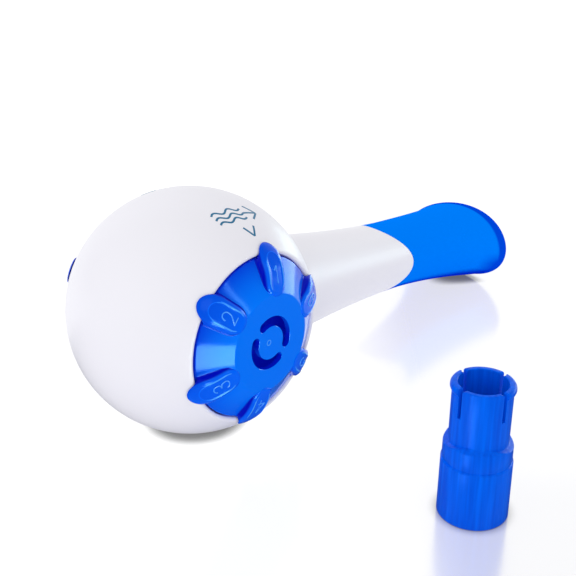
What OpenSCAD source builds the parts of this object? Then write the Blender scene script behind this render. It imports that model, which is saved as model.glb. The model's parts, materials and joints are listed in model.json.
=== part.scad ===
// Breathing trainer: a hollow ball head with an adjustable inhale dial and exhale dial,
// one-way valves behind them, a hollow handle, a flared oval mouthpiece and a snap-in adapter.
// The trainer lies as it does on a table, on the ball and on the mouthpiece's lip.

/* [Ball and handle] */
// Outer radius of the ball head
ball_r = 32.5; // [31:0.5:36]
// Wall of the white shell
shell_wall = 2; // [1.6:0.1:2.2]
// Handle's radius where its axis line starts inside the ball
handle_root_r = 16.1; // [15:0.1:17]
// Handle's radius where it meets the mouthpiece
handle_end_r = 11.1; // [11:0.1:12]
// Radius of the fillet between ball and handle
root_fillet = 5; // [3:0.5:7]
// Distance from the ball's centre to the middle of the parting line
parting_at = 82.1; // [80:0.5:88]
// Reach of the parting line's tongues to each side of its middle
parting_swing = 5.8; // [3:0.1:6.2]
// Radius of the bosses that the alignment pegs stand in
boss_r = 2; // [1.8:0.1:2.4]
// Radius of the alignment pegs
peg_r = 1; // [0.7:0.1:1.1]
// Length of each boss, and of the peg in it
boss_l = 4; // [3:0.5:4.5]

/* [Mouthpiece] */
// Distance from the ball's centre to the lip
lip_at = 135.7; // [128:0.5:145]
// Half of the lip's width
lip_half_w = 20.9; // [18:0.1:23]
// Half of the lip's height
lip_half_h = 12.5; // [12:0.1:15]
// How much the mouthpiece is drawn in between handle and lip
lip_waist = 1; // [0:0.1:1.2]
// Drop of the lip's centre below the handle's axis
lip_drop = 1.6; // [0:0.1:2]
// How far the lip's ends are drawn back
lip_dish = 3.8; // [0:0.1:5]
// Wall of the mouthpiece at the lip
lip_wall = 1.7; // [1.2:0.1:2.2]
// Wall of the mouthpiece's skirt behind the parting line
skirt_wall = 1.9; // [1.4:0.1:2]

/* [Connector] */
// Radius of the socket's bore in the handle's end
socket_r = 7.25; // [7:0.05:7.4]
// Wall of the socket
socket_wall = 1.6; // [1.3:0.1:1.7]
// Length of the socket
socket_l = 18.5; // [17.5:0.5:22]
// Depth of the socket's snap groove
groove_d = 0.6; // [0.5:0.05:0.8]
// Width of the socket's snap groove
groove_w = 2.6; // [2.4:0.1:3]
// Width of the socket's two flanges
flange_w = 2; // [1.5:0.1:2.2]
// Bore radius of the mouthpiece's insert
airway_r = 5.8; // [5:0.1:5.9]
// Length of the insert's neck inside the socket
neck_l = 11; // [9:0.5:12]
// Length of the insert inside the mouthpiece's collar
grip_l = 10; // [8:0.5:12]
// Radius of the insert inside the collar
grip_r = 7.95; // [7.6:0.05:8.2]
// Radius of the insert's flange
insert_flange_r = 9; // [8.6:0.1:9.1]
// Section radius of the neck's sealing ring
neck_ring_r = 0.45; // [0.35:0.05:0.5]

/* [Dial] */
// Depth of the dial's face below the ball's full radius
face_drop = 3.9; // [3.2:0.1:4.6]
// Radius of the dial's flat face
face_r = 12.8; // [12.4:0.1:13.4]
// Radius of the dial's rim
rim_r = 21; // [20.6:0.05:21.4]
// Rounding of the ball around the dial's port
port_round = 0.75; // [0.6:0.05:0.9]
// Depth of the dial's rim below the top of that rounding
rim_sink = 0.05; // [0:0.01:0.3]
// Wall of the dial
dial_wall = 1.5; // [1.2:0.1:1.7]
// Depth of the rim's skirt inside the port
rim_depth = 2.1; // [1.9:0.05:2.3]
// Radius of the hub that the pivot screw bites in
hub_r = 3.4; // [3:0.1:3.8]
// Mid radius of the two curved air slots
slot_at_r = 5.7; // [5.5:0.1:6]
// Width of the air slots
slot_w = 2.6; // [2:0.1:2.8]
// Width of the webs that are left between the two air slots
slot_web = 1.65; // [1.2:0.05:3]
// Radius of the two drive pegs under the face
drive_peg_r = 1.1; // [0.8:0.1:1.2]
// Distance of the drive pegs from the dial's axis
drive_peg_at = 9; // [8.8:0.1:9.3]

/* [Dial tabs] */
// Number of settings, each with a finger tab and a graded hole
settings = 6; // [4:1:6]
// Half width of a tab's foot
tab_half_w = 4.3; // [4:0.1:4.8]
// Half width of a tab's top
tab_top_half_w = 3.3; // [2.8:0.1:3.8]
// Reach of a tab beyond the dial's rim
tab_over = 3.3; // [3:0.1:3.5]
// Inner reach of a tab's top from the dial's axis
tab_from = 12.2; // [11.8:0.1:12.6]
// Height of a tab's inner end above the face
tab_rise = 0.35; // [0.2:0.05:0.6]
// Even part of the fall of a tab's top; the rest comes towards its outer end
tab_fall = 2; // [1.6:0.1:2.8]
// Thickness of a tab's outer end
tab_end_t = 0.7; // [0.6:0.1:1.2]
// Clearance between a tab and the ball
tab_gap = 0.35; // [0.2:0.05:0.5]

/* [Valves] */
// Depth of the seat plate's outer face below the foot of the port's rounding
seat_sink = 3.25; // [3.15:0.05:3.4]
// Thickness of the seat plate
plate_t = 2.2; // [1.8:0.1:2.6]
// Wall of the collar that the seat plate stands under
collar_wall = 1.8; // [1.5:0.1:2]
// Radius of the port in the seat plate
port_hole_r = 3.2; // [2.8:0.1:3.3]
// Distance of the middles of the port and of the graded holes inwards from the dial's rim
port_inset = 8; // [7.8:0.1:8.2]
// Thickness of the orifice disc
disc_t = 1.4; // [1:0.1:1.5]
// Space between seat plate and orifice disc
disc_lift = 1; // [0.9:0.05:1.2]
// Radius of the largest graded hole
hole_max_r = 2.9; // [2.4:0.1:3]
// Radius of the smallest graded hole
hole_min_r = 0.9; // [0.6:0.1:1.2]
// Radius of the valve disc
valve_r = 4.7; // [4.4:0.1:4.8]
// Thickness of the valve disc
valve_t = 0.8; // [0.5:0.1:1]
// Travel of the valve disc
valve_lift = 0.9; // [0.6:0.05:1]
// Inner radius of the valve cage
cage_r = 5.3; // [5.2:0.1:5.6]
// Wall of the valve cage
cage_wall = 1.2; // [0.9:0.1:1.3]
// Depth of the valve cage under the seat plate
cage_depth = 3.2; // [3.1:0.1:3.6]
// Width of the cage's cross bars
bar_w = 1.4; // [1:0.1:1.8]
// Width of the port's face gasket
gasket_w = 1.4; // [1:0.1:1.6]
// Section radius of the ring between seat plate and collar
seat_ring_r = 0.42; // [0.3:0.02:0.5]

/* [Pivot and click] */
// Radius of the pivot screw's shank
shank_r = 1.55; // [1.4:0.05:1.7]
// Radius of the screw's thread in the hub
thread_r = 1.2; // [1:0.05:1.35]
// Length of the screw's thread
thread_l = 5.5; // [4:0.5:6]
// Radius of the screw's head
head_r = 2.8; // [2.4:0.1:3]
// Height of the screw's head
head_h = 1.6; // [1.2:0.1:1.8]
// Outer radius of the washer
washer_r = 3.2; // [3:0.1:3.6]
// Thickness of the washer
washer_t = 0.5; // [0.3:0.1:0.6]
// Radius of the click spring's nose and of its notches
click_r = 0.8; // [0.6:0.05:0.9]
// Thickness of the click spring's leaf
leaf_t = 0.4; // [0.3:0.05:0.5]
// Height of the click spring's leaf
leaf_h = 1.1; // [0.9:0.1:1.2]
// Angle that the leaf spans
leaf_span = 44; // [36:2:50]

/* [Adapter] */
// Outer radius of the adapter's sleeve
sleeve_r = 8.5; // [8.4:0.1:9]
// Bore radius of the sleeve
sleeve_bore_r = 7.5; // [7.3:0.05:7.6]
// Depth of the sleeve's bore
sleeve_bore_l = 16; // [15:0.5:17]
// Height of the sleeve up to its step
sleeve_h = 14.8; // [14:0.1:16]
// Drop in radius at the step
step_in = 0.35; // [0.2:0.05:0.5]
// Height of the shoulder at its lowest, where the neck starts
shoulder_h = 19.6; // [19:0.1:21]
// Rise of the shoulder's two arches
arch_rise = 1.6; // [1:0.1:2]
// Outer radius of the adapter's neck
adapter_neck_r = 7; // [6.9:0.05:7.15]
// Bore radius of the adapter's neck
adapter_bore_r = 5.8; // [5.4:0.1:5.9]
// Overall height of the adapter
adapter_h = 35; // [34:0.5:40]
// Outward reach of the snap barbs on the two side arms
barb_out = 0.5; // [0.4:0.05:0.6]
// Height of the snap barbs
barb_h = 1.9; // [1.5:0.1:2]
// Length of the slots between the snap arms
arm_slot_l = 7.4; // [6:0.1:8]
// Width of the slots between the snap arms
arm_slot_w = 1; // [0.8:0.1:1.4]
// Place of the adapter along the handle, from the ball's centre
adapter_x = 14.5; // [10:0.5:40]
// Place of the adapter to the inhale side, from the ball's centre
adapter_y = 80; // [60:0.5:90]

/* [Clearances] */
// Gap between the dial's rim and its port
port_gap = 0.36; // [0.2:0.02:0.5]
// Gap along the parting line
parting_gap = 0.1; // [0.05:0.05:0.2]
// Gap between pieces that fit each other
fit_gap = 0.05; // [0.03:0.01:0.08]
// Gap between a soft piece and the face that it seals on
seal_gap = 0.1; // [0.08:0.02:0.15]
// Overlap of the screw's thread in the hub
thread_bite = 0.05; // [0.02:0.01:0.08]

/* [Hidden] */
$fn = 96;

// Turn of each side's frame about the upright axis; its own +Z then points out of the ball
inhale = 0;
exhale = 180;
// Turn of each side's mechanism about its own axis, which sets how far its dial stands off the mark
inhale_turn = -3;
exhale_turn = -9;
// Turn of the adapter about the upright axis
adapter_turn = -59;
// Overrun of every cut
cut = 1;
// Far enough to clear the whole trainer
far = 2 * lip_at;

// Handle's outline
root_at_share = 0.68;
taper_power = 1.75;
root_at = root_at_share * ball_r;
handle_end = parting_at + parting_swing;
neck_root_r = handle_r(ball_r);
fillet_c = [
    sqrt(pow(ball_r + root_fillet, 2) - pow(neck_root_r + root_fillet, 2)),
    neck_root_r + root_fillet
];
fillet_from = atan2(fillet_c[1], fillet_c[0]);
fillet_steps = 10;
taper_steps = 12;

// Alignment pegs: two in the ball's back and two in the handle, in the middle plane
ball_peg_share = 0.7;
ball_peg_turn = 40;
handle_peg_share = 0.54;
boss_sink_share = 0.6;

// The lip's lowest edge and the ball both rest on the floor
lip_low = lip_half_h + lip_drop;
tilt = asin(ball_r / norm([lip_at, lip_low])) - atan2(lip_low, lip_at);
lip_far = lip_at * cos(tilt) + (lip_half_h - lip_drop) * sin(tilt);
ball_x = (ball_r - lip_far) / 2;

// Mouthpiece's stations
flare_from = handle_end - parting_swing / 2;
width_power = 2.1;
loft_steps = 9;
loft_seg = 40;
skirt_in_r = handle_end_r - skirt_wall;
socket_front = parting_at - parting_swing;
socket_back = socket_front - socket_l;
flange_at = handle_end + fit_gap;
insert_flange_w = 2;
collar_at = flange_at + insert_flange_w;
grip_end = collar_at + grip_l;
neck_r = socket_r - fit_gap;
// The neck's sealing ring sits in the middle of the length inside the socket
ring_at = socket_front - neck_l / 2;
ring_line_r = socket_r - fit_gap / 2 - neck_ring_r;
barb_at = socket_front - (adapter_h - shoulder_h - arch_rise - barb_h / 2);

// Dial and seat: the port and its collar follow the rim, and their heights follow the ball
port_r = rim_r + port_gap;
collar_r = port_r + collar_wall;
port_at_r = rim_r - port_inset;
// The collar ends inside the ball's wall
collar_to = sqrt(pow(ball_r - shell_wall / 2, 2) - pow((port_r + collar_r) / 2, 2));
port_round_at = sqrt(pow(ball_r - port_round, 2) - pow(port_r + port_round, 2));
face_at = ball_r - face_drop;
rim_at = port_round_at + port_round - rim_sink;
seat_at = port_round_at - seat_sink;
rim_in_r = rim_r - dial_wall;
slot_span = 180 - 2 * asin((slot_web + slot_w) / (2 * slot_at_r));
disc_at = seat_at + disc_lift;
disc_r = rim_in_r - port_gap;
hub_from = seat_at + fit_gap;
seat_under = seat_at - plate_t;
// A tab's top falls faster and faster outwards, and ends close over the ball
tab_steps = 6;
tab_foot_at = rim_at - rim_depth;
tab_reach = rim_r + tab_over;
tab_in = tab_from + tab_top_half_w;
tab_out = tab_reach - tab_half_w;
tab_top = face_at + tab_rise;
ball_y = (adapter_y + sleeve_r - tab_top) / 2;
tab_edge = sqrt(pow(ball_r + tab_gap, 2) - pow(tab_reach, 2)) + tab_end_t;
gasket_in_r = port_hole_r + 2 * seal_gap;
ring_groove = 2 * seat_ring_r + fit_gap;
seat_ring_at = (port_r + collar_r) / 2;
nib_l_share = 1 / 3;
nib_l = nib_l_share * valve_lift;
nib_r = seat_ring_r;
nibs = 3;
nib_at_r = valve_r - 2 * nib_r;

// Cross recess in the screw's head
recess_share = 0.6;
recess_r = recess_share * head_r;
recess_w = head_h / 2;

// Adapter's shoulder
adapter_top = shoulder_h + arch_rise;
bevel = sleeve_r - step_in - adapter_neck_r;
arch_steps = 8;
arch_outline = concat(
    [for (i = [-arch_steps : arch_steps])
        let (x = sleeve_r * i / arch_steps)
            [x, adapter_top - arch_rise * pow(x / adapter_neck_r, 2)]],
    [[sleeve_r, 0], [-sleeve_r, 0]]
);

// The inhale disc lies on the plate's port and opens inwards; the exhale disc lies on its cage's floor
inhale_valve_at = seat_under - seal_gap - valve_t;
exhale_valve_at = seat_under - nib_l - seal_gap - valve_lift - valve_t;

// Click spring
leaf_r = disc_r + click_r + fit_gap;
leaf_at = disc_at - leaf_h / 2;
foot_w_share = 4;

// Height and half width of the mouthpiece at x, and its centre's drop below the axis
function flare_share(x) = max(0, (x - flare_from) / (lip_at - flare_from));
function half_w(x) = handle_r(x) + (lip_half_w - handle_r(x)) * pow(flare_share(x), width_power)
    - 4 * lip_waist * flare_share(x) * (1 - flare_share(x));
function half_h(x) = handle_r(x) + (lip_half_h - handle_r(x)) * flare_share(x);
function drop(x) = lip_drop * pow(flare_share(x), 2);

// Handle's outer radius at x
function handle_r(x) = handle_end_r + (handle_root_r - handle_end_r)
    * pow(max(0, (handle_end - x) / (handle_end - root_at)), taper_power);

// Outline of the handle and its fillet as radius and distance, drawn in by inset; it leaves the ball
// just past the point where the two touch
function fillet_points(inset) = [
    for (i = [1 : fillet_steps])
        let (a = fillet_from + (90 - fillet_from) * i / fillet_steps, r = root_fillet + inset)
            [fillet_c[1] - r * sin(a), fillet_c[0] - r * cos(a)]
];
function taper_points(inset, end) = [
    for (i = [0 : taper_steps])
        let (x = ball_r + (end - ball_r) * i / taper_steps)
            [handle_r(x) - inset, x]
];
function handle_outline(inset, end) = let (from = fillet_points(inset)[0]) concat(
    [[0, from[1] - cut], [from[0] - cut, from[1] - cut]],
    fillet_points(inset),
    taper_points(inset, end),
    [[0, end]]
);

// Outline of the port in the ball: straight, then rounded over until just short of the ball's skin
port_round_to = atan2(port_round_at, port_r + port_round);
port_steps = 8;
port_outline = let (
    arc = [for (i = [0 : port_steps - 1])
        let (a = 180 - (180 - port_round_to) * i / port_steps)
            [port_r + port_round * (1 + cos(a)), port_round_at + port_round * sin(a)]],
    last = arc[port_steps - 1],
    out = last + cut * (last - arc[port_steps - 2]) / norm(last - arc[port_steps - 2])
) concat([[0, seat_at], [port_r, seat_at]], arc, [out, [out[0], ball_r + cut], [0, ball_r + cut]]);

// Height of a tab's top, from 0 at its inner end to 1 at its outer end
function tab_top_at(share) = tab_top - tab_fall * share - (tab_top - tab_fall - tab_edge) * pow(share, 3);

// Parting line seen from above: the shell reaches furthest at the dial sides
function parting_x(y) = parting_at - parting_swing + 2 * parting_swing * pow(y / handle_end_r, 2);
parting_steps = 12;
parting_reach = handle_end_r + cut;
function parting_curve(gap) = [
    for (i = [-parting_steps : parting_steps])
        let (y = parting_reach * i / parting_steps)
            [parting_x(y) + gap, y]
];

module placed() translate([ball_x, ball_y, ball_r]) rotate([0, tilt, 0]) children();
module facing(side) rotate([90, 0, side]) children();
module on_side(side) placed() facing(side)
    rotate(side == inhale ? inhale_turn : exhale_turn) children();
module along_handle(at = 0) translate([at, 0, 0]) rotate([0, 90, 0]) children();
module turned_places(count, at_r, from = 90)
    for (i = [0 : count - 1]) rotate(from + i * 360 / count) translate([at_r, 0, 0]) children();
module ring(outer, inner, h) difference() {
    cylinder(r = outer, h = h);
    translate([0, 0, -cut]) cylinder(r = inner, h = h + 2 * cut);
}
module beyond_parting(gap) translate([0, 0, -far / 2]) linear_extrude(far)
    polygon(concat(parting_curve(gap), [[far, parting_reach], [far, -parting_reach]]));
module before_parting(gap) translate([0, 0, -far / 2]) linear_extrude(far)
    polygon(concat(parting_curve(gap), [[0, parting_reach], [0, -parting_reach]]));

// Ball and handle as one skin, drawn in by inset
module skin(inset, end) {
    sphere(r = ball_r - inset);
    along_handle() rotate_extrude() polygon(handle_outline(inset, end));
}
module half_space(side) facing(side) translate([-far, -far, 0]) cube([2 * far, 2 * far, far]);
module peg_places() {
    for (up = [-1, 1]) {
        rotate([0, 180 + up * ball_peg_turn, 0])
            translate([ball_r - shell_wall - boss_sink_share * boss_r, 0, 0]) rotate([90, 0, 0]) children();
        let (x = handle_peg_share * parting_at)
            translate([x, 0, up * (handle_r(x) - shell_wall - boss_sink_share * boss_r)])
                rotate([90, 0, 0]) children();
    }
}
module half_shell(side) {
    toward = side == inhale ? 0 : -boss_l;
    difference() {
        intersection() {
            union() {
                difference() {
                    skin(0, handle_end);
                    skin(shell_wall, handle_end + cut);
                }
                peg_places() translate([0, 0, toward]) cylinder(r = boss_r, h = boss_l);
            }
            half_space(side);
        }
        facing(side) rotate_extrude() polygon(port_outline);
        beyond_parting(-parting_gap / 2);
        if (side == exhale)
            peg_places() translate([0, 0, -boss_l - cut])
                cylinder(r = peg_r + fit_gap, h = boss_l + 2 * cut);
    }
    // The collar around the port, which carries the seat plate
    facing(side) translate([0, 0, seat_at + fit_gap])
        ring(collar_r, port_r, collar_to - seat_at - fit_gap);
    if (side == inhale)
        peg_places() translate([0, 0, -boss_l + fit_gap]) cylinder(r = peg_r, h = boss_l + peg_r);
}

module curved_slot(deep) {
    for (end = [-1, 1]) rotate(end * slot_span / 2)
        translate([slot_at_r, 0, 0]) cylinder(r = slot_w / 2, h = deep);
    rotate(-slot_span / 2) rotate_extrude(angle = slot_span)
        translate([slot_at_r - slot_w / 2, 0]) square([slot_w, deep]);
}
// A finger tab before it is cut to the ball: drafted sides, round ends, its top falling outwards
module tab() intersection() {
    translate([0, 0, tab_foot_at]) {
        for (x = [tab_in, tab_out])
            translate([x, 0, 0]) cylinder(r1 = tab_half_w, r2 = tab_top_half_w, h = tab_top - tab_foot_at);
        translate([tab_in, 0, 0]) rotate([90, 0, 90]) linear_extrude(tab_out - tab_in) polygon([
            [-tab_half_w, 0], [tab_half_w, 0],
            [tab_top_half_w, tab_top - tab_foot_at], [-tab_top_half_w, tab_top - tab_foot_at]
        ]);
    }
    rotate_extrude() polygon(concat(
        [[tab_reach, seat_at], [tab_from - cut, seat_at], [tab_from - cut, tab_top]],
        [for (i = [0 : tab_steps])
            [tab_from + (tab_reach - tab_from) * i / tab_steps, tab_top_at(i / tab_steps)]]
    ));
}
module dial_shell() rotate_extrude() polygon([
    [0, face_at], [face_r, face_at], [rim_r, rim_at], [rim_r, rim_at - rim_depth],
    [rim_in_r, rim_at - rim_depth], [rim_in_r, rim_at - dial_wall / 2],
    [face_r - dial_wall / 2, face_at - dial_wall], [0, face_at - dial_wall]
]);
module dial() difference() {
    union() {
        dial_shell();
        difference() {
            turned_places(settings, 0) tab();
            difference() {
                intersection() {
                    sphere(r = ball_r + tab_gap);
                    cylinder(r = ball_r, h = rim_at + rim_sink + tab_gap);
                }
                cylinder(r = rim_r, h = far);
            }
            rotate_extrude() polygon([
                [0, 0], [0, face_at - dial_wall / 2], [face_r - dial_wall / 2, face_at - dial_wall / 2],
                [rim_in_r, rim_at - dial_wall / 2], [rim_in_r, 0]
            ]);
        }
        translate([0, 0, hub_from]) cylinder(r = hub_r, h = face_at - hub_from - dial_wall / 2);
        turned_places(2, drive_peg_at, 0) translate([0, 0, disc_at])
            cylinder(r = drive_peg_r, h = face_at - disc_at - dial_wall / 2);
    }
    translate([0, 0, hub_from - cut]) cylinder(r = thread_r - thread_bite, h = thread_l + fit_gap + cut);
    for (a = [60, 240]) rotate(a)
        translate([0, 0, face_at - dial_wall - cut]) curved_slot(dial_wall + 2 * cut);
}

// The graded hole for setting 1 is the largest; each next one is smaller
function hole_r(i) = hole_max_r - (hole_max_r - hole_min_r) * i / (settings - 1);
module orifice_disc() translate([0, 0, disc_at]) difference() {
    ring(disc_r, hub_r + fit_gap, disc_t);
    for (i = [0 : settings - 1]) rotate(90 + i * 360 / settings)
        translate([port_at_r, 0, -cut]) cylinder(r = hole_r(i), h = disc_t + 2 * cut);
    turned_places(2, drive_peg_at, 0) translate([0, 0, -cut])
        cylinder(r = drive_peg_r + fit_gap, h = disc_t + 2 * cut);
    turned_places(settings, disc_r + fit_gap) translate([0, 0, -cut])
        cylinder(r = click_r + fit_gap, h = disc_t + 2 * cut);
}
module click_spring() {
    middle = 270;
    rotate(middle - leaf_span / 2) translate([0, 0, leaf_at]) rotate_extrude(angle = leaf_span)
        translate([leaf_r, 0]) square([leaf_t, leaf_h]);
    rotate(middle) translate([disc_r + fit_gap, 0, leaf_at]) intersection() {
        cylinder(r = click_r, h = leaf_h);
        translate([-click_r, -click_r, 0]) cube([2 * click_r + leaf_t, 2 * click_r, leaf_h]);
    }
    rotate(middle) translate([disc_r, -leaf_t, leaf_at]) cube([click_r + leaf_t / 2, 2 * leaf_t, leaf_h]);
    for (end = [-1, 1]) rotate(middle + end * leaf_span / 2)
        translate([leaf_r, -foot_w_share * leaf_t / 2, seat_at])
            cube([leaf_t, foot_w_share * leaf_t, leaf_at + leaf_h - seat_at]);
}
module valve_seat(side) difference() {
    union() {
        translate([0, 0, seat_under]) cylinder(r = collar_r, h = plate_t);
        if (side == exhale) translate([0, port_at_r, seat_under - nib_l])
            turned_places(nibs, nib_at_r) cylinder(r = nib_r, h = nib_l + fit_gap);
    }
    translate([0, 0, seat_under - cut]) cylinder(r = shank_r + fit_gap, h = plate_t + 2 * cut);
    translate([0, port_at_r, seat_under - cut]) cylinder(r = port_hole_r, h = plate_t + 2 * cut);
    translate([0, 0, seat_at - ring_groove])
        ring(seat_ring_at + seat_ring_r + fit_gap, seat_ring_at - seat_ring_r - fit_gap, ring_groove + cut);
}
module seat_ring() translate([0, 0, seat_at - ring_groove / 2]) rotate_extrude()
    translate([seat_ring_at, 0]) circle(r = seat_ring_r);
module port_gasket() translate([0, port_at_r, seat_at])
    ring(gasket_in_r + gasket_w, gasket_in_r, disc_lift - seal_gap);

module valve_disc(side) translate([0, port_at_r, side == inhale ? inhale_valve_at : exhale_valve_at])
    cylinder(r = valve_r, h = valve_t);
module valve_cage(side) translate([0, port_at_r, seat_under - cage_depth]) {
    ring(cage_r + cage_wall, cage_r, cage_depth);
    if (side == inhale) intersection() {
        cylinder(r = cage_r + fit_gap, h = inhale_valve_at - valve_lift - seal_gap - seat_under + cage_depth);
        union() for (a = [45, 135]) rotate(a)
            translate([-cage_r - cut, -bar_w / 2, 0]) cube([2 * (cage_r + cut), bar_w, cage_depth]);
    }
    else ring(cage_r + fit_gap, port_hole_r, cage_depth - (seat_under - exhale_valve_at) - seal_gap);
}
module pivot_washer() translate([0, 0, seat_under - fit_gap - washer_t])
    ring(washer_r, shank_r + fit_gap, washer_t);
module pivot_screw() {
    under = seat_under - fit_gap - washer_t;
    difference() {
        translate([0, 0, under - head_h]) cylinder(r = head_r, h = head_h);
        for (a = [0, 90]) rotate(a) translate([-recess_r, -recess_w / 2, under - head_h - cut])
            cube([2 * recess_r, recess_w, head_h / 2 + cut]);
    }
    translate([0, 0, under]) cylinder(r = shank_r, h = hub_from - under);
    translate([0, 0, hub_from]) cylinder(r = thread_r, h = thread_l);
}

module socket_flange(at) along_handle(at)
    cylinder(r = handle_r(at + flange_w) - shell_wall - fit_gap, h = flange_w);
module socket() difference() {
    union() {
        along_handle(socket_back) cylinder(r = socket_r + socket_wall, h = socket_l);
        socket_flange(socket_back);
        socket_flange(socket_front - flange_w - parting_gap);
    }
    along_handle(socket_back - cut) cylinder(r = socket_r, h = socket_l + 2 * cut);
    along_handle(barb_at - groove_w / 2) cylinder(r = socket_r + groove_d, h = groove_w);
}
module insert() difference() {
    union() {
        along_handle(socket_front - neck_l) cylinder(r = neck_r, h = collar_at - socket_front + neck_l);
        along_handle(flange_at) cylinder(r = insert_flange_r, h = insert_flange_w);
        along_handle(collar_at) cylinder(r = grip_r, h = grip_l);
    }
    along_handle(socket_front - neck_l - cut) cylinder(r = airway_r, h = far);
    along_handle(ring_at - neck_ring_r - fit_gap)
        ring(neck_r + cut, ring_line_r - neck_ring_r - fit_gap / 2, 2 * (neck_ring_r + fit_gap));
}

// Mouthpiece's sections as [x, half width, half height, drop, how far the ends are drawn back]
function dish(x) = lip_dish * pow(flare_share(x), 2);
function section(x, inset) = [x, half_w(x) - inset, half_h(x) - inset, drop(x), dish(x)];
function round_section(x, r) = [x, r, r, 0, 0];
skirt_start = parting_at - 2 * parting_swing;
throat_r = airway_r + fit_gap;
sections = concat(
    [for (i = [0 : loft_steps]) section(skirt_start + (flare_from - skirt_start) * i / loft_steps, 0)],
    [for (i = [1 : loft_steps]) section(flare_from + (lip_at - flare_from) * i / loft_steps, 0)],
    [section(lip_at, lip_wall)],
    [for (i = [1 : loft_steps])
        let (s = i / loft_steps, x = lip_at + (grip_end + lip_wall - lip_at) * s)
            [x, (half_w(x) - lip_wall) * (1 - s) + throat_r * s,
                (half_h(x) - lip_wall) * (1 - s) + throat_r * s, drop(x) * (1 - s), dish(x) * (1 - s)]],
    [round_section(grip_end, throat_r), round_section(grip_end, grip_r + fit_gap),
        round_section(collar_at, grip_r + fit_gap), round_section(collar_at, skirt_in_r),
        round_section(skirt_start, skirt_in_r)]
);
function section_ring(s) = [
    for (j = [0 : loft_seg - 1])
        let (a = 360 * j / loft_seg)
            [s[0] - s[4] * pow(cos(a), 2), s[1] * cos(a), s[2] * sin(a) - s[3]]
];
module tube_loft(rings) {
    n = len(rings);
    m = loft_seg;
    polyhedron(
        points = [for (s = rings) each section_ring(s)],
        faces = [for (i = [0 : n - 1], j = [0 : m - 1], half = [0, 1])
            let (a = i * m + j, b = i * m + (j + 1) % m,
                c = ((i + 1) % n) * m + j, d = ((i + 1) % n) * m + (j + 1) % m)
            half == 0 ? [a, b, d] : [a, d, c]]
    );
}

// Adapter, standing on its sleeve's end
module adapter_body() difference() {
    union() {
        rotate_extrude() polygon([
            [0, 0], [sleeve_r, 0], [sleeve_r - step_in / 4, sleeve_h],
            [sleeve_r - step_in, sleeve_h + step_in], [sleeve_r - step_in, adapter_top], [0, adapter_top]
        ]);
        cylinder(r = adapter_neck_r, h = adapter_h);
        translate([0, 0, adapter_h - barb_h]) intersection() {
            rotate_extrude() polygon([
                [0, 0], [adapter_neck_r, 0], [adapter_neck_r + barb_out, barb_out],
                [adapter_neck_r + barb_out, (barb_h + barb_out) / 2], [adapter_neck_r - barb_out / 2, barb_h],
                [0, barb_h]
            ]);
            for (a = [0, 180]) rotate(a - 45) cube([2 * sleeve_r, 2 * sleeve_r, barb_h]);
        }
    }
    // The shoulder: a bevel around the neck, cut along two arches
    difference() {
        translate([0, 0, shoulder_h]) linear_extrude(adapter_h) circle(r = sleeve_r + cut);
        translate([0, 0, shoulder_h - cut]) cylinder(r = adapter_neck_r, h = adapter_h + cut);
        rotate([90, 0, 0]) translate([0, 0, -far / 2]) linear_extrude(far) polygon(arch_outline);
    }
    rotate_extrude() polygon([
        [sleeve_r - step_in - bevel, adapter_top], [sleeve_r, adapter_top - bevel - step_in],
        [sleeve_r + cut, adapter_top - bevel - step_in], [sleeve_r + cut, adapter_top + cut],
        [sleeve_r - step_in - bevel, adapter_top + cut]
    ]);
    translate([0, 0, -cut]) cylinder(r = sleeve_bore_r, h = sleeve_bore_l + cut);
    translate([0, 0, sleeve_bore_l - cut]) cylinder(r = adapter_bore_r, h = adapter_h);
    for (a = [45, 135]) rotate(a) translate([-sleeve_r - cut, -arm_slot_w / 2, adapter_h - arm_slot_l])
        cube([2 * (sleeve_r + cut), arm_slot_w, arm_slot_l + cut]);
}

module inhale_half_shell() color("whitesmoke") placed() half_shell(inhale);
module exhale_half_shell() color("ghostwhite") placed() half_shell(exhale);
module connector_socket() color("gainsboro") placed() socket();
module inhale_dial() color("dodgerblue") on_side(inhale) dial();
module exhale_dial() color("dodgerblue") on_side(exhale) dial();
module inhale_orifice_disc() color("royalblue") on_side(inhale) orifice_disc();
module exhale_orifice_disc() color("royalblue") on_side(exhale) orifice_disc();
module inhale_valve_seat() color("white") on_side(inhale) valve_seat(inhale);
module exhale_valve_seat() color("white") on_side(exhale) valve_seat(exhale);
module inhale_seat_ring() color("dimgray") on_side(inhale) seat_ring();
module exhale_seat_ring() color("dimgray") on_side(exhale) seat_ring();
module inhale_port_gasket() color("lightgray") on_side(inhale) port_gasket();
module exhale_port_gasket() color("lightgray") on_side(exhale) port_gasket();
module inhale_valve_disc() color("lightcyan") on_side(inhale) valve_disc(inhale);
module exhale_valve_disc() color("lightcyan") on_side(exhale) valve_disc(exhale);
module inhale_valve_cage() color("white") on_side(inhale) valve_cage(inhale);
module exhale_valve_cage() color("white") on_side(exhale) valve_cage(exhale);
module inhale_pivot_screw() color("silver") on_side(inhale) pivot_screw();
module exhale_pivot_screw() color("silver") on_side(exhale) pivot_screw();
module inhale_pivot_washer() color("ivory") on_side(inhale) pivot_washer();
module exhale_pivot_washer() color("ivory") on_side(exhale) pivot_washer();
module inhale_click_spring() color("silver") on_side(inhale) click_spring();
module exhale_click_spring() color("silver") on_side(exhale) click_spring();
module mouthpiece() color("deepskyblue") placed() difference() {
    tube_loft(sections);
    before_parting(parting_gap / 2);
}
module mouthpiece_insert() color("aliceblue") placed() insert();
module neck_ring() color("dimgray") placed() along_handle(ring_at) rotate_extrude()
    translate([ring_line_r, 0]) circle(r = neck_ring_r);
module adapter() color("mediumblue") translate([ball_x + adapter_x, ball_y - adapter_y, 0])
    rotate(adapter_turn) adapter_body();

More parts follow.
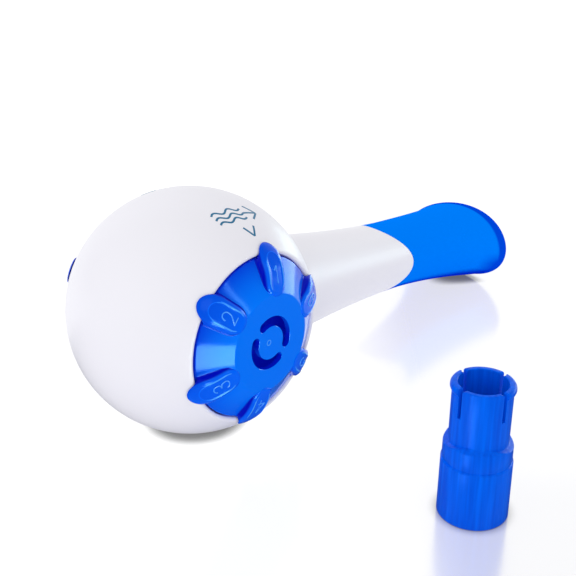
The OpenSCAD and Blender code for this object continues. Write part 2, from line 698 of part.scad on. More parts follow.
inhale_half_shell();
exhale_half_shell();
connector_socket();
inhale_dial();
exhale_dial();
inhale_orifice_disc();
exhale_orifice_disc();
inhale_valve_seat();
exhale_valve_seat();
inhale_seat_ring();
exhale_seat_ring();
inhale_port_gasket();
exhale_port_gasket();
inhale_valve_disc();
exhale_valve_disc();
inhale_valve_cage();
exhale_valve_cage();
inhale_pivot_screw();
exhale_pivot_screw();
inhale_pivot_washer();
exhale_pivot_washer();
inhale_click_spring();
exhale_click_spring();
mouthpiece();
mouthpiece_insert();
neck_ring();
adapter();
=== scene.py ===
"""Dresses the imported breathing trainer: a white ball head with a handle, two blue dials with
raised numbers, a flared blue mouthpiece and a loose blue adapter, on a pale glossy table."""

import json
import logging
import math
from dataclasses import dataclass, field
from enum import Enum
from typing import Callable, Sequence

import bmesh
import bpy
from mathutils import Matrix, Vector


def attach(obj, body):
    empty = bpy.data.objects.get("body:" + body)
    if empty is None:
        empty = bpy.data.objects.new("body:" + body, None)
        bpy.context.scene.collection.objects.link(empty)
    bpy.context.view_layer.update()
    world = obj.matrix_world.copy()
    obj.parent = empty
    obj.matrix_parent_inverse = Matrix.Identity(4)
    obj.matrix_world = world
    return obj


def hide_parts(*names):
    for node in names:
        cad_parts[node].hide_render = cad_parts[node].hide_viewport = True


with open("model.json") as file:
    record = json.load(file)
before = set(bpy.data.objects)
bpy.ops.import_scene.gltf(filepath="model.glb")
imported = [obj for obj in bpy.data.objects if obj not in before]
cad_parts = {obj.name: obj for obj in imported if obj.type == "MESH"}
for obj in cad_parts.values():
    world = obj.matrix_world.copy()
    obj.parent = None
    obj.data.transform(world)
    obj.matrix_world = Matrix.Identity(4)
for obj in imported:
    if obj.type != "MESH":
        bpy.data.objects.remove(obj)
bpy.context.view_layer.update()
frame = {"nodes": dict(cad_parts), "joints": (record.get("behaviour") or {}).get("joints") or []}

LOG = logging.getLogger("trainer")
MM = 0.001

Point = tuple[float, float, float]
Flat = tuple[float, float]

# Face-corner share of painted light, from -1 for a painted highlight to 1 for painted shade
PAINTED_SHADE = "deep"
# Points closer than this, in metres, are one point
MERGE = 0.0004 * MM


# Finishes


def linear(code: str) -> tuple[float, float, float, float]:
    """Turns an sRGB hex colour into Blender's linear one.

    Args:
        code: six hex digits, such as "f0f0f5".

    Returns:
        Red, green, blue and alpha.
    """
    def channel(pair: str) -> float:
        """Returns one channel's linear value."""
        v = int(pair, 16) / 255
        return v / 12.92 if v <= 0.04045 else ((v + 0.055) / 1.055) ** 2.4

    return (channel(code[0:2]), channel(code[2:4]), channel(code[4:6]), 1.0)


def add(tree: bpy.types.NodeTree, kind: str, sockets: dict | None = None, **settings) -> bpy.types.Node:
    """Adds one node to a tree, with its settings, values and links.

    Args:
        tree: the node tree.
        kind: the node's class name.
        sockets: input name or number to a value, or to the output socket that feeds it.
        settings: attributes of the node itself.

    Returns:
        The new node.
    """
    node = tree.nodes.new(kind)
    for name, value in settings.items():
        setattr(node, name, value)
    for name, value in (sockets or {}).items():
        if isinstance(value, bpy.types.NodeSocket):
            tree.links.new(value, node.inputs[name])
        else:
            node.inputs[name].default_value = value
    return node


class Grain(Enum):
    """What a moulded surface shows up close."""

    NONE = "none"
    FLOW = "flow"


@dataclass(frozen=True)
class Finish:
    """One real material, with how its surface was made."""

    name: str
    colour: str
    roughness: float
    ior: float = 1.5
    metallic: float = 0.0
    specular: float = 0.5
    sheen_tint: str = ""
    # Painted light: the colour of painted shade, the share of it that faces turned down to the pale table
    # keep (painted light from below), the colour of a painted highlight, and the strength of a painted glow
    deep: str = ""
    painted_shade_facing_down: float = 1.0
    turned_down: Flat = (-0.5, 0.05)
    painted_highlight: str = ""
    painted_glow: float = 0.0
    glow: float = 0.0
    glow_mm: float = 1.5
    grain: Grain = Grain.NONE
    grain_mm: float = 6.0
    grain_flat: float = 0.05
    grain_deep: float = 0.0
    shade: str = ""

    def material(self) -> bpy.types.Material:
        """Returns the Blender material, made once."""
        made = bpy.data.materials.get(self.name)
        if made:
            return made
        made = bpy.data.materials.new(self.name)
        made.use_nodes = True
        tree = made.node_tree
        shader = tree.nodes["Principled BSDF"]
        shader.inputs["Base Color"].default_value = linear(self.colour)
        shader.inputs["Roughness"].default_value = self.roughness
        shader.inputs["Metallic"].default_value = self.metallic
        shader.inputs["IOR"].default_value = self.ior
        shader.inputs["Specular IOR Level"].default_value = self.specular
        # Painted glow: the plastic emits its shaded colour, or its own, though it is no lamp
        if self.painted_glow:
            shader.inputs["Emission Color"].default_value = linear(self.deep or self.colour)
            shader.inputs["Emission Strength"].default_value = self.painted_glow
        if self.glow:
            shader.inputs["Subsurface Weight"].default_value = self.glow
            shader.inputs["Subsurface Radius"].default_value = (1.0, 1.0, 1.0)
            shader.inputs["Subsurface Scale"].default_value = self.glow_mm * MM
        if self.sheen_tint:
            shader.inputs["Specular Tint"].default_value = linear(self.sheen_tint)
        if self.deep:
            self.paint_shade_and_highlight(tree, shader)
        if self.grain is not Grain.NONE:
            self.dress(tree, shader)
        made.diffuse_color = linear(self.colour)
        return made

    def paint_shade_and_highlight(self, tree: bpy.types.NodeTree, shader: bpy.types.Node) -> None:
        """Mixes painted shade and a painted highlight into the base colour.

        The mesh's own share says where, above 0 for painted shade and below 0 for painted highlight. Faces
        that turn down to the pale table take less of the painted shade, as painted light from below.

        Args:
            tree: the material's node tree.
            shader: its main shader.
        """
        share = add(tree, "ShaderNodeAttribute", attribute_name=PAINTED_SHADE)
        normal = add(tree, "ShaderNodeNewGeometry")
        parts = add(tree, "ShaderNodeSeparateXYZ", {0: normal.outputs["Normal"]})
        # Painted light from the table: faces turned down take less of the painted shade
        side = add(tree, "ShaderNodeMapRange", {
            "Value": parts.outputs["Z"],
            "From Min": self.turned_down[0], "From Max": self.turned_down[1],
            "To Min": self.painted_shade_facing_down, "To Max": 1.0,
        })
        factor = add(tree, "ShaderNodeMath", {
            0: share.outputs["Fac"], 1: side.outputs[0],
        }, operation="MULTIPLY")
        mix = add(tree, "ShaderNodeMix", {
            "Factor": factor.outputs[0], 6: linear(self.colour), 7: linear(self.deep),
        }, data_type="RGBA")
        # Painted highlight where the share is below 0
        highlight_share = add(tree, "ShaderNodeMath", {0: share.outputs["Fac"], 1: -1.0}, operation="MULTIPLY")
        last = add(tree, "ShaderNodeMix", {
            "Factor": highlight_share.outputs[0], 6: mix.outputs[2], 7: linear(self.painted_highlight or self.colour),
        }, data_type="RGBA", clamp_factor=True)
        tree.links.new(last.outputs[2], shader.inputs["Base Color"])
        # Painted glow that grows with the painted shade
        if self.painted_glow:
            glow = add(tree, "ShaderNodeMath", {
                0: share.outputs["Fac"], 1: self.painted_glow,
            }, operation="MULTIPLY", use_clamp=True)
            tree.links.new(glow.outputs[0], shader.inputs["Emission Strength"])

    def dress(self, tree: bpy.types.NodeTree, shader: bpy.types.Node) -> None:
        """Adds the mould's faint upright flow lines to colour and surface.

        Args:
            tree: the material's node tree.
            shader: its main shader.
        """
        place = add(tree, "ShaderNodeTexCoord")
        mapped = add(tree, "ShaderNodeMapping", {
            "Vector": place.outputs["Object"], "Scale": (1.0, 1.0, self.grain_flat),
        })
        noise = add(tree, "ShaderNodeTexNoise", {
            "Vector": mapped.outputs["Vector"], "Scale": 1 / (self.grain_mm * MM), "Detail": 2.0,
            "Roughness": 0.5,
        })
        if self.shade:
            mix = add(tree, "ShaderNodeMix", {
                "Factor": noise.outputs["Fac"],
                6: linear(self.colour), 7: linear(self.shade),
            }, data_type="RGBA")
            tree.links.new(mix.outputs[2], shader.inputs["Base Color"])
        if self.grain_deep:
            bump = add(tree, "ShaderNodeBump", {
                "Height": noise.outputs["Fac"], "Distance": self.grain_deep * MM, "Strength": 1.0,
            })
            tree.links.new(bump.outputs["Normal"], shader.inputs["Normal"])


# White ABS, injection moulded in a fine tool: an even, cool white with a soft gloss
WHITE_ABS = Finish("white moulded ABS", "efeef1", 0.34, specular=0.25)
# Unpolished polypropylene inside the head: flat white
INNER_PP = Finish("white moulded polypropylene", "e6e6e6", 0.5)
# Tinted polycarbonate, polished: clear blue, with painted shade on the slot walls, towards the skirt's rim
# and on undersides, a painted highlight on the gate mark and a faint painted glow
BLUE_PC = Finish("blue polished polycarbonate", "007aff", 0.13, sheen_tint="7cbcff",
                 deep="001cc8", painted_shade_facing_down=0.45, painted_highlight="58b0ff", painted_glow=0.12)
# The same plastic on the finger tabs over their hollow undersides, with painted shade on the side walls and
# towards the tips, a painted highlight on the bead round each top and a faint painted glow
TAB_PC = Finish("blue polished polycarbonate, hollow tabs", "006cff", 0.16,
                sheen_tint="7cbcff", deep="0006b4", painted_shade_facing_down=0.3, painted_highlight="4aa8ff", painted_glow=0.08)
# Thin raised strokes of it, coloured lighter as a painted highlight
STROKE_PC = Finish("blue polished polycarbonate, thin strokes", "3d9cff", 0.2)
# Dark acetal under the slots, with a painted blue glow for the light that the dial lets through
DISC_ACETAL = Finish("dark blue moulded acetal", "0010b4", 0.4, ior=1.48, painted_glow=0.32)
# Thermoplastic elastomer of the mouthpiece: satin, bright blue, with painted shade along the rolled rim and
# on its underside near the lips
BLUE_TPE = Finish("blue moulded elastomer", "0081ff", 0.38, ior=1.45, specular=0.0,
                  sheen_tint="2a8cff", deep="0030d4")
# Polypropylene of the adapter, with faint upright flow lines from the mould
ADAPTER_PP = Finish("blue moulded polypropylene", "0072ff", 0.28, ior=1.49, specular=0.12,
                    sheen_tint="7cbcff", grain=Grain.FLOW, grain_mm=1.0, grain_deep=0.015,
                    shade="003cc4")
# Nitrile rubber of the seals: near black and dull
NITRILE = Finish("dark moulded nitrile rubber", "2a2b2d", 0.55)
# Silicone of the valve discs: milky, so light spreads inside the thin sheet
SILICONE = Finish("clear moulded silicone", "dfe6ea", 0.35, ior=1.43, glow=0.2)
# Stainless steel of screws and springs: grey, with bright soft streaks
STAINLESS = Finish("turned stainless steel", "c9c9cb", 0.28, metallic=1.0)
# PTFE of the thrust washers: off-white and waxy
PTFE = Finish("white turned PTFE", "eeede8", 0.4, ior=1.38)
# Pad-printed ink on the ball: flat teal, hardly thicker than the eye can tell
INK = Finish("teal pad-printing ink", "0c6f96", 0.4)

CAD_FINISHES = {
    "connector_socket": INNER_PP, "mouthpiece_insert": INNER_PP,
    "inhale_valve_seat": INNER_PP, "exhale_valve_seat": INNER_PP,
    "inhale_valve_cage": INNER_PP, "exhale_valve_cage": INNER_PP,
    "inhale_orifice_disc": DISC_ACETAL, "exhale_orifice_disc": DISC_ACETAL,
    "inhale_seat_ring": NITRILE, "exhale_seat_ring": NITRILE, "neck_ring": NITRILE,
    "inhale_port_gasket": NITRILE, "exhale_port_gasket": NITRILE,
    "inhale_valve_disc": SILICONE, "exhale_valve_disc": SILICONE,
    "inhale_pivot_screw": STAINLESS, "exhale_pivot_screw": STAINLESS,
    "inhale_click_spring": STAINLESS, "exhale_click_spring": STAINLESS,
    "inhale_pivot_washer": PTFE, "exhale_pivot_washer": PTFE,
}


# Meshes


def settle(
    name: str, verts: Sequence[Point], faces: Sequence[Sequence[int]], place: Matrix,
    finish: Finish, sharp: float = 35.0,
) -> bpy.types.Object:
    """Makes a closed mesh in millimetres, set in its place in the row's frame.

    Args:
        name: the piece's name.
        verts: points in the piece's own frame.
        faces: point numbers of each face.
        place: turns the piece's own frame into the row's.
        finish: its material.
        sharp: edges above this angle in degrees stay crisp.

    Returns:
        The object, at the origin.
    """
    mesh = bpy.data.meshes.new(name)
    mesh.from_pydata([tuple(v) for v in verts], [], [tuple(f) for f in faces])
    mesh.transform(place)
    made = bpy.data.objects.new(name, mesh)
    bpy.context.scene.collection.objects.link(made)
    tidy(made, sharp)
    mesh.materials.append(finish.material())
    return made


def tidy(made: bpy.types.Object, sharp: float = 35.0) -> None:
    """Merges doubles, turns faces outwards and shades smooth between crisp edges.

    Args:
        made: the object.
        sharp: edges above this angle in degrees stay crisp.
    """
    mesh = bmesh.new()
    mesh.from_mesh(made.data)
    bmesh.ops.remove_doubles(mesh, verts=mesh.verts, dist=MERGE)
    bmesh.ops.dissolve_degenerate(mesh, edges=mesh.edges, dist=MERGE)
    bmesh.ops.recalc_face_normals(mesh, faces=mesh.faces)
    mesh.to_mesh(made.data)
    mesh.free()
    made.data.shade_smooth()
    made.data.set_sharp_from_angle(angle=math.radians(sharp))


def grid(rows: Sequence[Sequence[Point]], around: bool, along: bool) -> tuple[list[Point], list[list[int]]]:
    """Joins rows of points, all of one length, with quads.

    Args:
        rows: the rows of points.
        around: True if each row closes on itself.
        along: True if the last row joins the first.

    Returns:
        Points and faces.
    """
    n = len(rows[0])
    verts = [p for row in rows for p in row]
    faces = []
    for i in range(len(rows) if along else len(rows) - 1):
        a, b = i * n, (i + 1) % len(rows) * n
        for j in range(n if around else n - 1):
            k = (j + 1) % n
            faces.append([a + j, a + k, b + k, b + j])
    return verts, faces


def spun(profile: Sequence[Flat], steps: int = 160) -> tuple[list[Point], list[list[int]]]:
    """Spins a closed outline of (radius, height) points about Z.

    Args:
        profile: the outline.
        steps: steps round the circle.

    Returns:
        Points and faces.
    """
    rows = []
    for i in range(steps):
        a = 2 * math.pi * i / steps
        rows.append([(r * math.cos(a), r * math.sin(a), z) for r, z in profile])
    return grid(rows, around=True, along=True)


def rounded(corners: Sequence[tuple[float, float, float]], steps: int = 5) -> list[Flat]:
    """Rounds the corners of a closed outline.

    Args:
        corners: x, y and rounding radius of each corner.
        steps: steps in each rounding.

    Returns:
        The outline's points.
    """
    out: list[Flat] = []
    n = len(corners)
    for i, (x, y, r) in enumerate(corners):
        here = Vector((x, y))
        if r <= 0:
            out.append((x, y))
            continue
        before = (Vector(corners[i - 1][:2]) - here).normalized()
        after = (Vector(corners[(i + 1) % n][:2]) - here).normalized()
        half = before.angle(after) / 2
        back = r / math.tan(half)
        middle = here + (before + after).normalized() * (r / math.sin(half))
        start, end = here + before * back - middle, here + after * back - middle
        turn = start.angle_signed(end)
        for k in range(steps + 1):
            p = middle + Matrix.Rotation(-turn * k / steps, 2) @ start
            out.append((p.x, p.y))
    return out


def bend(a: Point, b: Point, c: Point, steps: int) -> list[Point]:
    """Returns points on the curve from a to c that leaves towards b and arrives from it."""
    out = []
    for k in range(steps + 1):
        t = k / steps
        out.append(tuple(
            (1 - t) ** 2 * p + 2 * t * (1 - t) * q + t * t * r for p, q, r in zip(a, b, c)
        ))
    return out


def cut_with(made: bpy.types.Object, cutter: bpy.types.Object) -> None:
    """Cuts one object out of another and drops the cutter.

    Args:
        made: what is cut.
        cutter: what it is cut with.
    """
    modifier = made.modifiers.new("cut", "BOOLEAN")
    modifier.operation = "DIFFERENCE"
    modifier.solver = "EXACT"
    modifier.object = cutter
    keep(made, modifier)
    drop(cutter)


def keep(made: bpy.types.Object, modifier: bpy.types.Modifier) -> None:
    """Bakes an object's modifiers in its mesh and takes the modifier off.

    Args:
        made: the object.
        modifier: its modifier.
    """
    graph = bpy.context.evaluated_depsgraph_get()
    result = bpy.data.meshes.new_from_object(made.evaluated_get(graph))
    made.modifiers.remove(modifier)
    old, made.data = made.data, result
    result.name = made.name
    if old.users == 0:
        bpy.data.meshes.remove(old)


def drop(made: bpy.types.Object) -> None:
    """Removes a helper object and its data."""
    data = made.data
    bpy.data.objects.remove(made)
    if isinstance(data, bpy.types.Mesh):
        bpy.data.meshes.remove(data)
    else:
        bpy.data.curves.remove(data)


def joined(name: str, parts: Sequence[bpy.types.Object]) -> bpy.types.Object:
    """Joins objects that all stand at the origin into one.

    Args:
        name: the new piece's name.
        parts: the objects, the first of which gives the material.

    Returns:
        The joined object.
    """
    first = parts[0]
    with bpy.context.temp_override(
        active_object=first, object=first, selected_editable_objects=list(parts),
        selected_objects=list(parts),
    ):
        bpy.ops.object.join()
    first.name = name
    first.data.name = name
    return first


def paint_shade_and_highlight(made: bpy.types.Object, back: Matrix, rule: Callable[[int, Vector, Vector], float]) -> None:
    """Stores the share of painted shade, or of painted highlight below 0, at every face corner.

    Args:
        made: the object.
        back: turns the row's frame into the piece's own millimetres.
        rule: gives the share, -1 to 1, for a material's number, a face's normal and a corner.
    """
    mesh = made.data
    layer = mesh.attributes.new(PAINTED_SHADE, "FLOAT", "CORNER")
    turn = back.to_3x3()
    points = [back @ v.co for v in mesh.vertices]
    for face in mesh.polygons:
        normal = (turn @ face.normal).normalized()
        for k in face.loop_indices:
            share = rule(face.material_index, normal, points[mesh.loops[k].vertex_index])
            layer.data[k].value = min(1.0, max(-1.0, share))


def flowing(points: Sequence[Flat], steps: int = 5) -> list[Flat]:
    """Draws a smooth line through points.

    Args:
        points: the points.
        steps: steps from each point to the next.

    Returns:
        The line's points.
    """
    if len(points) < 3:
        return list(points)
    out: list[Flat] = []
    for i in range(len(points) - 1):
        a, b, c, d = (points[max(0, min(len(points) - 1, i + k))] for k in (-1, 0, 1, 2))
        for k in range(steps):
            t = k / steps
            out.append(tuple(
                0.5 * (2 * q + (r - p) * t + (2 * p - 5 * q + 4 * r - s) * t * t
                       + (3 * q - p - 3 * r + s) * t ** 3)
                for p, q, r, s in zip(a, b, c, d)
            ))
    out.append(points[-1])
    return out


# Where things are


@dataclass
class Device:
    """The trainer's own frame: its origin is the ball's centre, +X runs along the handle."""

    ball_r: float = 32.5
    centre: Vector = field(default_factory=Vector)
    tilt: float = 0.0

    def __post_init__(self) -> None:
        """Finds the ball's centre and the handle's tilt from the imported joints."""
        joints = {j["name"]: j for j in frame["joints"]}
        a = Vector(joints["inhale_dial_turn"]["pos_m"])
        b = Vector(joints["exhale_dial_turn"]["pos_m"])
        self.centre = (a + b) / 2
        pull = joints["mouthpiece_pull"]["axis"]
        self.tilt = math.atan2(-pull[2], pull[0])

    @property
    def place(self) -> Matrix:
        """Turns the device's millimetres into the row's metres."""
        return Matrix.Translation(self.centre) @ Matrix.Rotation(self.tilt, 4, "Y") @ Matrix.Scale(MM, 4)

    def port(self, side: float, turn: float) -> Matrix:
        """Turns a port's own frame, +Z out of the ball, into the row's.

        Args:
            side: 0 on the inhale side, 180 on the exhale side.
            turn: the mechanism's turn in degrees.

        Returns:
            The matrix.
        """
        return (
            self.place @ Matrix.Rotation(math.radians(side), 4, "Z")
            @ Matrix.Rotation(math.radians(90), 4, "X") @ Matrix.Rotation(math.radians(turn), 4, "Z")
        )


# Shapes that the white shell and the mouthpiece share


@dataclass(frozen=True)
class Handle:
    """The handle's outline and its parting line, in millimetres."""

    ball_r: float = 32.5
    root_r: float = 16.1
    end_r: float = 11.1
    root_at: float = 22.1
    end_at: float = 87.9
    power: float = 1.75
    fillet: float = 5.0
    parting_at: float = 82.1
    parting_swing: float = 5.8

    def radius(self, x: float) -> float:
        """Returns the handle's radius at x."""
        share = max(0.0, (self.end_at - x) / (self.end_at - self.root_at))
        return self.end_r + (self.root_r - self.end_r) * share ** self.power

    def parting(self, turn: float) -> float:
        """Returns the parting line's x at an angle round the handle, 0 at the top."""
        x = self.parting_at
        for _ in range(6):
            side = self.radius(x) * math.sin(turn) / self.end_r
            x = self.parting_at - self.parting_swing + 2 * self.parting_swing * side * side
        return x


@dataclass
class Shell:
    """The white ball and handle, in two halves that meet in the middle plane."""

    device: Device
    handle: Handle = field(default_factory=Handle)
    wall: float = 2.0
    port_r: float = 21.36
    port_round: float = 0.75
    seat_sink: float = 3.25
    collar_wall: float = 1.8
    collar_to: float = 22.289
    turns: int = 120
    edge: float = 0.15
    boss_r: float = 2.0
    boss_l: float = 4.0
    boss_sunk: float = 0.6
    boss_turns: Flat = (140, 220)
    boss_along: float = 0.54
    peg_r: float = 1.0
    peg_out: float = 0.5
    fit: float = 0.05
    plug_over: float = 2.0
    plug_deep: float = 10.0
    plug_past: float = 1.2
    port_steps: int = 240

    @property
    def round_at(self) -> float:
        """Returns the height at which the port's wall starts to round over."""
        r = self.port_round
        return math.sqrt((self.handle.ball_r - r) ** 2 - (self.port_r + r) ** 2)

    def outline(self, inset: float) -> list[Flat]:
        """Returns (x, radius) points of the skin from the ball's back to the fillet's end.

        Args:
            inset: how far inside the outer skin.

        Returns:
            The points.
        """
        h = self.handle
        neck = h.radius(h.ball_r)
        cx = math.sqrt((h.ball_r + h.fillet) ** 2 - (neck + h.fillet) ** 2)
        cr = neck + h.fillet
        touch = math.atan2(cr, cx)
        ball_steps, fillet_steps = 90, 16
        out = []
        for i in range(ball_steps):
            a = math.pi - (math.pi - touch) * i / ball_steps
            out.append(((h.ball_r - inset) * math.cos(a), (h.ball_r - inset) * math.sin(a)))
        for i in range(fillet_steps + 1):
            a = touch + (math.pi / 2 - touch) * i / fillet_steps
            out.append((cx - (h.fillet + inset) * math.cos(a), cr - (h.fillet + inset) * math.sin(a)))
        return out

    def half(self, name: str, side: int) -> bpy.types.Object:
        """Builds one half of the shell.

        Args:
            name: the piece's name.
            side: -1 on the inhale side, 1 on the exhale side.

        Returns:
            The object.
        """
        h = self.handle
        taper = 44
        rows = []
        outer, inner = self.outline(0), self.outline(self.wall)
        for i in range(self.turns + 1):
            turn = math.pi * i / self.turns
            end = h.parting(turn)
            flat: list[Flat] = list(outer)
            start = outer[-1][0]
            for k in range(1, taper + 1):
                x = start + (end - self.edge - start) * k / taper
                flat.append((x, h.radius(x)))
            flat.append((end, h.radius(end) - self.edge))
            flat.append((end, h.radius(end) - self.wall))
            back = inner[-1][0]
            for k in range(taper - 1, 0, -1):
                x = back + (end - back) * k / taper
                flat.append((x, h.radius(x) - self.wall))
            flat.extend(reversed(inner))
            rows.append([(x, side * r * math.sin(turn), r * math.cos(turn)) for x, r in flat])
        verts, faces = grid(rows, around=True, along=False)
        n = len(rows[0])
        faces.append(list(range(n)))
        faces.append(list(range(n * self.turns, n * (self.turns + 1))))
        made = settle(name, verts, faces, self.device.place, WHITE_ABS)
        cut_with(made, self.port_cutter(side))
        tidy(made)
        return joined(name, [made, *self.inside(side)])

    def port_cutter(self, side: int) -> bpy.types.Object:
        """Returns the plug that opens the dial's port and rounds the ball over around it."""
        low, top, r, steps = self.round_at, self.handle.ball_r + self.plug_over, self.port_round, 10
        touch = math.atan2(low, self.port_r + r)
        arc = []
        for i in range(steps):
            a = math.pi - (math.pi - touch) * i / steps
            arc.append((self.port_r + r + r * math.cos(a), low + r * math.sin(a)))
        ahead = (Vector(arc[-1]) - Vector(arc[-2])).normalized()
        out = Vector(arc[-1]) + self.plug_past * ahead
        deep = low - self.plug_deep
        profile = [(0, deep), (self.port_r, deep), *arc, tuple(out), (out.x, top), (0, top)]
        verts, faces = spun(profile, self.port_steps)
        place = self.device.port(0 if side < 0 else 180, 0)
        return settle("port plug", verts, faces, place, WHITE_ABS)

    def inside(self, side: int) -> list[bpy.types.Object]:
        """Returns the collar round the port and the bosses and pegs that align the halves."""
        place = self.device.port(0 if side < 0 else 180, 0)
        r, out = self.port_r, self.port_r + self.collar_wall
        low, high = self.round_at - self.seat_sink + self.fit, self.collar_to
        ring = [(r, low), (out, low), (out, high), (r, high)]
        made = [settle("collar", *spun(ring, self.port_steps), place, WHITE_ABS)]
        h = self.handle
        sunk = self.wall + self.boss_sunk * self.boss_r
        far = h.ball_r - sunk
        turns = [math.radians(a) for a in self.boss_turns]
        spots = [(far * math.cos(a), far * math.sin(a)) for a in turns]
        x = self.boss_along * h.parting_at
        off = h.radius(x) - sunk
        spots += [(x, off), (x, -off)]
        for sx, sz in spots:
            at = Matrix.Translation((sx, 0, sz)) @ Matrix.Rotation(math.radians(90), 4, "X")
            to = self.device.place @ at
            low_z, high_z = (0, self.boss_l) if side < 0 else (-self.boss_l, 0)
            hole = 0.0 if side < 0 else self.peg_r + self.fit
            profile = [(hole, low_z), (self.boss_r, low_z), (self.boss_r, high_z), (hole, high_z)]
            made.append(settle("boss", *spun(profile, 32), to, WHITE_ABS))
            if side < 0:
                end = self.fit - self.boss_l
                peg = [(0, end), (self.peg_r, end), (self.peg_r, self.peg_out), (0, self.peg_out)]
                made.append(settle("peg", *spun(peg, 24), to, WHITE_ABS))
        return made

    def build(self) -> None:
        """Builds both halves in place of the plain ones."""
        for name, node, side in (
            ("inhale_shell", "inhale_half_shell", -1), ("exhale_shell", "exhale_half_shell", 1),
        ):
            made = self.half(name, side)
            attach(made, "trainer")
            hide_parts(node)
            report(made)


# Strokes of the numerals 1 to 6 in a unit box, x to the right and y up
NUMERALS: list[list[list[Flat]]] = [
    [[(0.22, 0.76), (0.56, 1.0)], [(0.56, 1.0), (0.56, 0.0)]],
    [flowing([(0.1, 0.7), (0.2, 0.91), (0.48, 1.0), (0.78, 0.91), (0.87, 0.7), (0.76, 0.48), (0.45, 0.24),
              (0.1, 0.0)]), [(0.1, 0.0), (0.92, 0.0)]],
    [flowing([(0.12, 0.84), (0.27, 0.96), (0.5, 1.0), (0.73, 0.94), (0.83, 0.77), (0.74, 0.6), (0.4, 0.52)]),
     flowing([(0.4, 0.52), (0.74, 0.47), (0.9, 0.28), (0.79, 0.08), (0.5, 0.0), (0.24, 0.04), (0.08, 0.18)])],
    [[(0.95, 0.3), (0.05, 0.3)], [(0.05, 0.3), (0.68, 1.0)], [(0.68, 1.0), (0.68, 0.0)]],
    [[(0.85, 1.0), (0.25, 1.0)], [(0.25, 1.0), (0.17, 0.54)],
     flowing([(0.17, 0.54), (0.5, 0.65), (0.8, 0.56), (0.91, 0.33), (0.79, 0.09), (0.47, 0.0), (0.21, 0.05),
              (0.07, 0.18)])],
    [flowing([(0.82, 0.89), (0.6, 1.0), (0.33, 0.92), (0.14, 0.65), (0.1, 0.33), (0.22, 0.08), (0.5, 0.0),
              (0.79, 0.09), (0.9, 0.31), (0.78, 0.53), (0.5, 0.61), (0.22, 0.52), (0.1, 0.33)])],
]


